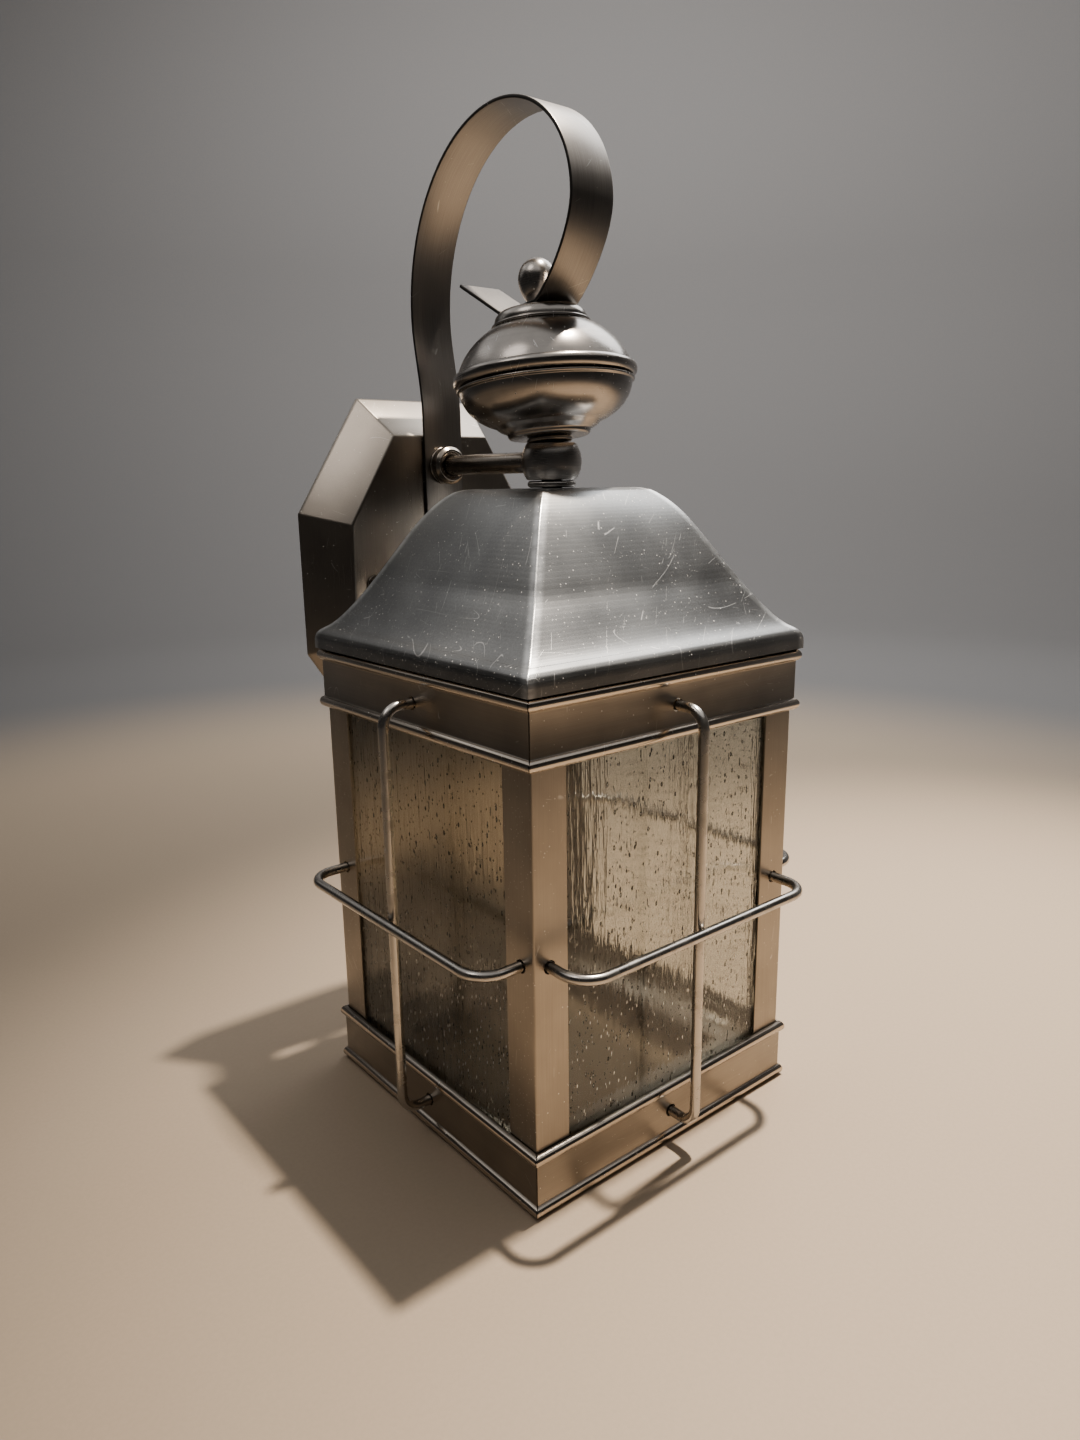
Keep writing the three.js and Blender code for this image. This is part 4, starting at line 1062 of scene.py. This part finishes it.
class LANTERN_OT_inside(bpy.types.Operator):
    """Make the back panel, the ledge under the panes and the frame that closes the top"""

    bl_idname = "lantern.inside"
    bl_label = "Back panel and frames"

    def execute(self, context):
        softened_copy("back_panel", "back_sheet", "sheet", 0.2)
        softened_copy("pane_ledge", "pane_shelf", "sheet", 0.2)
        softened_copy("top_frame", "top_closing_frame", "sheet", 0.2)
        return {"FINISHED"}


def bent_line(corners, radius, steps=10, stride=6.0):
    """Straight stretches with a quarter bend at each inner corner, as points."""
    points = [Vector(corners[0])]
    for i in range(1, len(corners)):
        corner = Vector(corners[i])
        into = (corner - Vector(corners[i - 1])).normalized()
        last = i == len(corners) - 1
        stop = corner if last else corner - into * radius
        pieces = max(1, round((stop - points[-1]).length / stride))
        begin = points[-1].copy()
        points += [begin.lerp(stop, k / pieces) for k in range(1, pieces + 1)]
        if last:
            break
        onward = (Vector(corners[i + 1]) - corner).normalized()
        for k in range(1, steps + 1):
            angle = math.pi / 2 * k / steps
            points.append(stop + into * radius * math.sin(angle) + onward * radius * (1 - math.cos(angle)))
    return points


class LANTERN_OT_guards(bpy.types.Operator):
    """Bend the upright and the rail of each glazed side from round wire"""

    bl_idname = "lantern.guards"
    bl_label = "Guard wires"

    def execute(self, context):
        radius = context.scene.lantern_sizes.wire / 2
        section = arc(0, 0, radius, radius, 0, 345, 23)
        at = BODY_HALF - RAIL_INSET
        upright = [
            (0, -WIRE_DEPTH, HIGH_WIRE), (0, -UPRIGHT_OUT, HIGH_WIRE), (0, -UPRIGHT_OUT, LOW_WIRE),
            (0, -WIRE_DEPTH, LOW_WIRE),
        ]
        rail = [
            (-at, -WIRE_DEPTH, RAIL_HEIGHT), (-at, -RAIL_OUT, RAIL_HEIGHT), (at, -RAIL_OUT, RAIL_HEIGHT),
            (at, -WIRE_DEPTH, RAIL_HEIGHT),
        ]
        for side, turn, glazed in SIDES:
            if not glazed:
                continue
            for name, corners, bend, across in (
                ("upright", upright, UPRIGHT_BEND, Vector((1, 0, 0))),
                ("rail", rail, RAIL_BEND, Vector((0, 0, 1))),
            ):
                bm = swept(section, bent_line(corners, bend), across)
                node = f"guard_{name}_{side}"
                finished(
                    bm, f"bent_{name}_{side}", "wire", [node], turn=round_to(turn), smooth=60
                )
        return {"FINISHED"}


# ---------- the roof ----------


def roof_outline():
    """The bell's outline on one face from the eave up, as (half side, height)."""

    def at(u, v):
        return (ROOF_TOP_HALF + u * (ROOF_HALF - ROOF_TOP_HALF), EAVE + v * ROOF_HEIGHT)

    lip = [at(1, 0), at(1, 0.03), at(1, 0.055), at(0.996, 0.078), at(0.985, 0.1), at(0.962, 0.12)]
    sweep = curve(at(0.93, 0.136), at(0.82, 0.174), at(0.64, 0.366), at(0.474, 0.57), 20)
    brow = curve(at(0.474, 0.57), at(0.325, 0.752), at(0.204, 0.912), at(0.03, 0.985), 20)[1:]
    top = [(ROOF_TOP_HALF - 1.6, ROOF_TOP - 0.25), (ROOF_TOP_HALF - 5, ROOF_TOP - 0.05)]
    inward = [(20, ROOF_TOP), (12, ROOF_TOP), (ROOF_HOLE, ROOF_TOP)]
    return lip + sweep + brow + top + inward


class LANTERN_OT_roof(bpy.types.Operator):
    """Raise the bell roof from a square, ring by ring, round its hips and rings and give it its sheet"""

    bl_idname = "lantern.roof"
    bl_label = "Roof"

    def execute(self, context):
        sizes = context.scene.lantern_sizes
        outline = roof_outline()
        bm = bmesh.new()
        half, height = outline[0]
        base = Matrix.Translation((0, 0, height)) @ Matrix.Rotation(math.pi / 4, 4, "Z")
        ring = bmesh.ops.create_circle(bm, segments=4, radius=half * math.sqrt(2), matrix=base)["verts"]
        edges = list({e for v in ring for e in v.link_edges})
        for next_half, next_height in outline[1:]:
            grown = bmesh.ops.extrude_edge_only(bm, edges=edges)["geom"]
            edges = [g for g in grown if isinstance(g, bmesh.types.BMEdge)]
            verts = [g for g in grown if isinstance(g, bmesh.types.BMVert)]
            scale = next_half / half
            bmesh.ops.scale(bm, vec=(scale, scale, 1), verts=verts)
            bmesh.ops.translate(bm, vec=(0, 0, next_height - height), verts=verts)
            half, height = next_half, next_height
        round_off(bm, bm.edges[:], sizes.hip, 4)
        self.press(bm, sizes.dents)
        bmesh.ops.recalc_face_normals(bm, faces=bm.faces)
        if sum(f.normal.z for f in bm.faces) < 0:
            bmesh.ops.reverse_faces(bm, faces=bm.faces)
        bmesh.ops.solidify(bm, geom=bm.faces[:], thickness=SHEET)
        finished(bm, "roof_bell", "roof", ["roof_shell"], smooth=50)
        return {"FINISHED"}

    @staticmethod
    def press(bm, seed):
        """Slight unevenness of the pressed sheet, and the bruise half way up the front left hip."""
        for vert in bm.verts:
            x, y, z = vert.co
            if not EAVE + 6 < z < ROOF_TOP - 4:
                continue
            uneven = noise.noise(Vector((x / 30 + seed, y / 30, z / 24))) * UNEVEN
            hip = max(0.0, 1 - abs(abs(x) - abs(y)) / BRUISE["width"])
            fade = math.exp(-(((z - BRUISE["height"]) / BRUISE["reach"]) ** 2))
            bruise = hip * BRUISE["depth"] * fade * (x < 0) * (y < 0)
            vert.co -= Vector((x, y, 0)).normalized() * (abs(uneven) + bruise)


# ---------- the axis and the finial ----------


def round_edged(radius, height, bore, z0):
    edge = arc(radius - height / 2, z0 + height / 2, height / 2, height / 2, -90, 90, 12)
    return [(bore, z0), *edge, (bore, z0 + height)]


class LANTERN_OT_neck(bpy.types.Operator):
    """Turn the ball and the rings above and below it"""

    bl_idname = "lantern.neck"
    bl_label = "Neck"

    def execute(self, context):
        radius, height = LOWER_RING
        low = turned(round_edged(radius, height, PIPE_HOLE, ROOF_TOP + GAP))
        finished(low, "turned_lower_ring", "upright_turned", ["lower_neck_ring"])
        flat = math.degrees(math.asin(BALL_FLAT / BALL_RADIUS))
        ball = [(PIPE_HOLE, -BALL_FLAT), *arc(0, 0, BALL_RADIUS, BALL_RADIUS, -flat, flat, 26)]
        ball += [(STUD_HOLE, BALL_FLAT)]
        bm = turned(filleted(ball, 0.5, True, 3, 30))
        bmesh.ops.translate(bm, verts=bm.verts, vec=(0, 0, ARM_HEIGHT))
        finished(bm, "turned_ball", "upright_turned", ["neck_ball"])
        radius, height = UPPER_RING
        high = turned(round_edged(radius, height, STUD, BALL_FLAT + GAP))
        finished(high, "turned_upper_ring", "finial", ["upper_neck_ring"], turn=FINIAL)
        return {"FINISHED"}


def bowl_profile():
    b, z = BOWL, BOWL["z"]
    step, top = z + b["step_height"], z + b["height"]
    bead = top - 1
    foot, wide, rim = b["foot"], b["step"], b["rim"]
    outer = [(STUD, z), (foot - 0.7, z), (foot, z + 0.7), (foot + 0.4, z + 2.4), (wide - 2, step - 1.8)]
    outer += curve((wide, step), (wide + 9, step + 3), (rim - 0.9, step + 9), (rim, bead - 1), 16)
    outer += [(rim + 0.9, bead - 0.7), (rim + 1.3, bead), (rim + 0.9, bead + 0.7), (rim, top)]
    inner = [(rim - 1, top)]
    inner += curve(
        (rim - 1, bead - 1), (rim - 2, step + 9.6), (wide + 8, step + 4), (wide - 0.6, step + 1), 12
    )
    inner += [(foot - 0.8, z + 3), (foot - 1.2, z + 1), (STUD, z + 1)]
    return filleted(outer, 1.6, False, 4, 14) + inner


def dome_profile():
    d, z = DOME, DOME["z"]
    top, sweep = z + d["height"], d["height"] - d["bead"]
    start, crown = BOWL["rim"], d["top"]
    rim = arc(start, z + d["bead"] / 2, d["rim"] - start, d["bead"] / 2, -90, 90, 14)
    outer = curve(
        (start, z + d["bead"]), (start - 2.9, top - 0.55 * sweep), (crown + 7, top - 0.18 * sweep),
        (crown, top), 18,
    )
    inner = curve(
        (crown - 0.4, top - 1), (crown + 6.2, top - 0.24 * sweep), (start - 4, top - 0.6 * sweep),
        (start - 1, z + d["bead"]), 12,
    )
    return [*rim, *outer[1:], (STUD, top), (STUD, top - 1), *inner, (start - 1, z)]


def cap_profile():
    c, z = CAP, CAP["z"]
    top, lip, crown = z + c["height"], c["lip"], c["top"]
    edge = arc(lip - 0.7, z + 0.7, 0.7, 0.7, -90, 90, 8)
    side = curve((lip - 1.4, z + 1.8), (lip - 1.6, z + 4.6), (crown + 1.8, top - 0.4), (crown, top), 12)
    inner = [(STUD, top), (STUD, top - 1), (crown - 1, top - 1), (lip - 3.4, z + 1.8), (lip - 3.4, z)]
    return [*edge, *side, *inner]


def acorn_profile():
    a, z = ACORN, ACORN["z"]
    foot = math.degrees(math.acos(a["foot"] / a["radius"]))
    lower = a["waist"] / math.sin(math.radians(foot))
    below = arc(0, z + a["waist"], a["radius"], lower, -foot, 0, 14)
    above = arc(0, z + a["waist"], a["radius"], a["height"] - a["waist"], 0, 90, 18)[1:]
    above[-1] = (0, above[-1][1])
    deep = z + a["waist"]
    return [(0, deep), (STUD, deep), (STUD, z), *below, *above]


class LANTERN_OT_finial(bpy.types.Operator):
    """Spin the bowl, the dome and the cap, and turn the acorn nut and its washer"""

    bl_idname = "lantern.finial"
    bl_label = "Finial"

    def execute(self, context):
        for name, node, profile in (
            ("spun_bowl", "finial_bowl", bowl_profile()),
            ("spun_dome", "finial_dome", dome_profile()),
            ("spun_cap", "finial_cap", cap_profile()),
        ):
            finished(turned(profile, 128), name, "finial", [node], turn=FINIAL)
        washer = turned(round_edged(WASHER["radius"], WASHER["height"], STUD, WASHER["z"]))
        node = "acorn_washer"
        finished(washer, "turned_washer", "finial", [node], node, turn=FINIAL)
        acorn = turned(acorn_profile(), closed=False)
        node = "acorn_nut"
        finished(acorn, "turned_acorn", "finial", [node], node, turn=FINIAL)
        return {"FINISHED"}


# ---------- the scroll strap and the arm ----------


def from_finial(y, z):
    """A point of the leaning finial, as (y, z), in the lantern's frame."""
    point = FINIAL @ Vector((0, y, z))
    return (point.y, point.z)


def strap_line():
    """The strap's middle line: up past the arm, over in a loop, down onto the cap, and a short tail."""
    seat_front, seat_back = (from_finial(y, SEAT_Z) for y in STRAP_SEAT)
    cap_top = from_finial(0, SEAT_Z)[1]
    back = (STRAP_Y + STRAP_BACK[0], cap_top + STRAP_BACK[1])
    front = (STRAP_FRONT[0], cap_top + STRAP_FRONT[1])
    crest_y, crest = STRAP_CREST[0], cap_top + STRAP_CREST[1]
    third = (back[1] - STRAP_LIFT) / 3
    bend = (seat_back[0] + 3, seat_back[1] + 0.2)
    tip = (bend[0] + TAIL * math.cos(TAIL_ANGLE), bend[1] + TAIL * math.sin(TAIL_ANGLE))
    pairs = [(STRAP_Y, STRAP_FOOT + (STRAP_LIFT - STRAP_FOOT) * k / 8) for k in range(8)]
    pairs += curve((STRAP_Y, STRAP_LIFT), (STRAP_Y, STRAP_LIFT + third), (back[0], back[1] - third), back, 24)
    pairs += arc(crest_y, back[1], back[0] - crest_y, crest - back[1], 0, 90, 36)[1:]
    pairs += arc(crest_y, front[1], crest_y - front[0], crest - front[1], 90, 180, 30)[1:]
    landing = (seat_front[0] - 6, seat_front[1] + 3)
    pairs += curve(front, (front[0], front[1] - 16), landing, seat_front, 20)[1:]
    flat = [seat_front, seat_back, bend, tip]
    pairs += filleted(flat, 6, False, 5, 4)[1:]
    return [Vector((0, y, z)) for y, z in pairs]


class LANTERN_OT_strap(bpy.types.Operator):
    """Roll the scroll strap along its line from a strip with softened edges"""

    bl_idname = "lantern.strap"
    bl_label = "Scroll strap"

    def execute(self, context):
        width, thick = STRAP_WIDTH / 2, STRAP / 2
        corners = [(-width, -thick), (width, -thick), (width, thick), (-width, thick)]
        section = filleted(corners, 0.5, True, 3)
        bm = swept(section, strap_line(), Vector((1, 0, 0)))
        finished(bm, "rolled_strap", "strap", ["scroll_strap"])
        return {"FINISHED"}


class LANTERN_OT_arm(bpy.types.Operator):
    """Make the arm and the round collar that bears on the strap"""

    bl_idname = "lantern.arm"
    bl_label = "Arm and collar"

    def execute(self, context):
        level = Matrix.Translation((0, 0, ARM_HEIGHT)) @ Matrix.Rotation(-math.pi / 2, 4, "X")
        start, end = ARM_RUN
        tube = [(ARM_BORE, start), (ARM_RADIUS, start), (ARM_RADIUS, end), (ARM_BORE, end)]
        bm = turned(filleted(tube, 0.4, True, 3), 48)
        finished(bm, "drawn_arm", "arm", ["arm_tube"], turn=level)
        r, a, b, bore = COLLAR.values()
        front = [(bore, a + 0.9), (6.4, a + 0.9), (6.8, a + 0.1), (r - 1.7, a), (r, a + 1.8)]
        rear = [(r, b - 2.2), (r - 0.5, b - 1.9), (r - 0.5, b - 1.5), (r, b - 1.2), (r, b), (bore, b)]
        bm = turned(filleted(front + rear, 0.7, True, 3, 25), 72)
        finished(bm, "turned_collar", "level_turned", ["arm_collar"], turn=level)
        softened_copy("arm_lock_nut", "lock_nut_on_arm", "zinc", 0.4)
        return {"FINISHED"}


# ---------- the wall plate and its fixings ----------


def octagon(bm, size, y, inset=0.0):
    """A closed ring of eight edges, taller than it is wide."""
    h, t = size["half"] - inset, size["top_half"] - inset / 2
    s, v = size["shoulder"] - inset / 2, size["top"] - inset
    corners = [(h, -s), (h, s), (t, v), (-t, v), (-h, s), (-h, -s), (-t, -v), (t, -v)]
    verts = [bm.verts.new((x, y, z)) for x, z in corners]
    return [bm.edges.new((verts[i - 1], verts[i])) for i in range(len(verts))]


class LANTERN_OT_plate(bpy.types.Operator):
    """Press the octagonal wall plate: a flat face, sloping sides, a low rim and a lip turned in"""

    bl_idname = "lantern.plate"
    bl_label = "Wall plate"

    def execute(self, context):
        bm = bmesh.new()
        lip = octagon(bm, RIM, 0, PLATE_LIP)
        rim = octagon(bm, RIM, 0)
        fold = octagon(bm, RIM, *PLATE_FOLD)
        face = octagon(bm, FACE, -PLATE_DEPTH)
        for one, other in ((lip, rim), (rim, fold), (fold, face)):
            bmesh.ops.bridge_loops(bm, edges=one + other)
        bmesh.ops.edgenet_fill(bm, edges=face)
        bmesh.ops.recalc_face_normals(bm, faces=bm.faces)
        front = max(bm.faces, key=lambda f: f.calc_area())
        if front.normal.y > 0:
            bmesh.ops.reverse_faces(bm, faces=bm.faces)
        creases = [e for e in bm.edges if not e.is_boundary and fold_angle(e) > 15]
        round_off(bm, creases, 0.9, 3)
        bmesh.ops.solidify(bm, geom=bm.faces[:], thickness=PLATE_SHEET)
        node = "wall_plate"
        finished(bm, "pressed_wall_plate", "plate", [node], place=FROM_WALL, smooth=30)
        return {"FINISHED"}


def domed_nut(start):
    """A dome on a flange, turned, with a softened hexagon round the flange."""
    flange, tall, dome = CAP_NUT["flange"], start + CAP_NUT["tall"], CAP_NUT["dome"]
    profile = [(0, start), (flange - 0.15, start), (flange, start + 0.3)]
    profile += [(flange, tall - 0.3), (flange - 0.3, tall)]
    profile += arc(0, tall - 0.1, dome, dome + 0.3, 2, 90, 12)[:-1]
    nut = turned(profile + [(0, start + CAP_NUT["height"])], 48, False)
    size = CAP_NUT["hexagon"]
    hexagon = bmesh.new()
    bmesh.ops.create_cone(
        hexagon, cap_ends=True, segments=6, radius1=size, radius2=size, depth=3.4,
        matrix=Matrix.Translation((0, 0, start + 1.75)),
    )
    soften(hexagon, 0.35, 40, 2)
    scrap = bpy.data.meshes.new("scrap")
    hexagon.to_mesh(scrap)
    hexagon.free()
    nut.from_mesh(scrap)
    bpy.data.meshes.remove(scrap)
    return nut


class LANTERN_OT_fixings(bpy.types.Operator):
    """Make the cap nuts and their washers, and finish the screws and the crossbar behind the plate"""

    bl_idname = "lantern.fixings"
    bl_label = "Fixings"

    def execute(self, context):
        for side in ("left", "right"):
            x = middle(f"cap_nut_{side}").x / MM
            seat = -low_corner(f"fixing_washer_{side}").y / MM
            out = Matrix.Translation((x, 0, 0)) @ Matrix.Rotation(math.pi / 2, 4, "X")
            bore, radius, height = FIXING_WASHER.values()
            section = [(bore, seat - height), (radius, seat - height), (radius, seat), (bore, seat)]
            washer, node = turned(filleted(section, 0.3, True), 48), f"fixing_washer_{side}"
            finished(
                washer, f"thin_washer_{side}", "level_turned", [node], node, FROM_WALL, out
            )
            nut, node = domed_nut(-high_corner(f"cap_nut_{side}").y / MM), f"cap_nut_{side}"
            finished(nut, f"domed_nut_{side}", "level_turned", [node], node, FROM_WALL, out)
            softened_copy(f"fixing_screw_{side}", f"long_screw_{side}", "zinc_thread_out", 0.2)
        softened_copy("wall_crossbar", "slotted_crossbar", "zinc", 0.2)
        softened_copy("ground_screw", "green_ground_screw", "zinc", 0.2)
        return {"FINISHED"}


class LANTERN_OT_hardware(bpy.types.Operator):
    """Finish the pipe, the stud and their nuts, the lampholder and the leads"""

    bl_idname = "lantern.hardware"
    bl_label = "Lampholder, pipe and leads"

    def execute(self, context):
        for node, name, material, slot in (
            ("threaded_pipe", "long_pipe", "zinc_thread_up", "zinc_steel"),
            ("finial_stud", "long_stud", "zinc_thread_up", "zinc_steel"),
            ("pipe_nut_frame", "low_pipe_nut", "zinc", "zinc_steel"),
            ("pipe_nut_roof", "high_pipe_nut", "zinc", "zinc_steel"),
            ("lampholder_cap", "holder_cap", "brass", "brass"),
            ("lampholder_insulator", "holder_body", "porcelain", "porcelain"),
            ("lampholder_screw_shell", "holder_thread", "brass", "brass"),
            ("lampholder_centre_contact", "holder_contact", "brass", "brass"),
        ):
            softened_copy(node, name, material, 0.25, angle=50)
        for node, material in (("lead_line", "black_sleeve"), ("lead_neutral", "white_sleeve")):
            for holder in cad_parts[node].material_slots:
                holder.material = FINISHES[material]
        return {"FINISHED"}


class LANTERN_PT_panel(bpy.types.Panel):
    bl_idname = "LANTERN_PT_panel"
    bl_label = "Wall lantern"
    bl_space_type = "VIEW_3D"
    bl_region_type = "UI"
    bl_category = "Lantern"

    def draw(self, context):
        for group in GROUPS:
            box = self.layout.box()
            settings = getattr(context.scene, group)
            for name in settings.__annotations__:
                box.prop(settings, name)
        for operator in OPERATORS:
            self.layout.operator(operator.bl_idname)


OPERATORS = (
    LANTERN_OT_stage,
    LANTERN_OT_posts,
    LANTERN_OT_bands,
    LANTERN_OT_panes,
    LANTERN_OT_inside,
    LANTERN_OT_guards,
    LANTERN_OT_roof,
    LANTERN_OT_neck,
    LANTERN_OT_finial,
    LANTERN_OT_strap,
    LANTERN_OT_arm,
    LANTERN_OT_plate,
    LANTERN_OT_fixings,
    LANTERN_OT_hardware,
)
GROUPS = {"lantern_sizes": LanternSizes, "lantern_colours": LanternColours, "lantern_studio": StudioSettings}
CLASSES = (*GROUPS.values(), *OPERATORS, LANTERN_PT_panel)


def register():
    for cls in CLASSES:
        bpy.utils.register_class(cls)
    for name, group in GROUPS.items():
        setattr(bpy.types.Scene, name, PointerProperty(type=group))


def unregister():
    for name in GROUPS:
        delattr(bpy.types.Scene, name)
    for cls in reversed(CLASSES):
        bpy.utils.unregister_class(cls)


def main():
    register()
    make_finishes(bpy.context.scene)
    for operator in OPERATORS:
        group, name = operator.bl_idname.split(".")
        getattr(getattr(bpy.ops, group), name)()


if __name__ == "__main__":
    main()
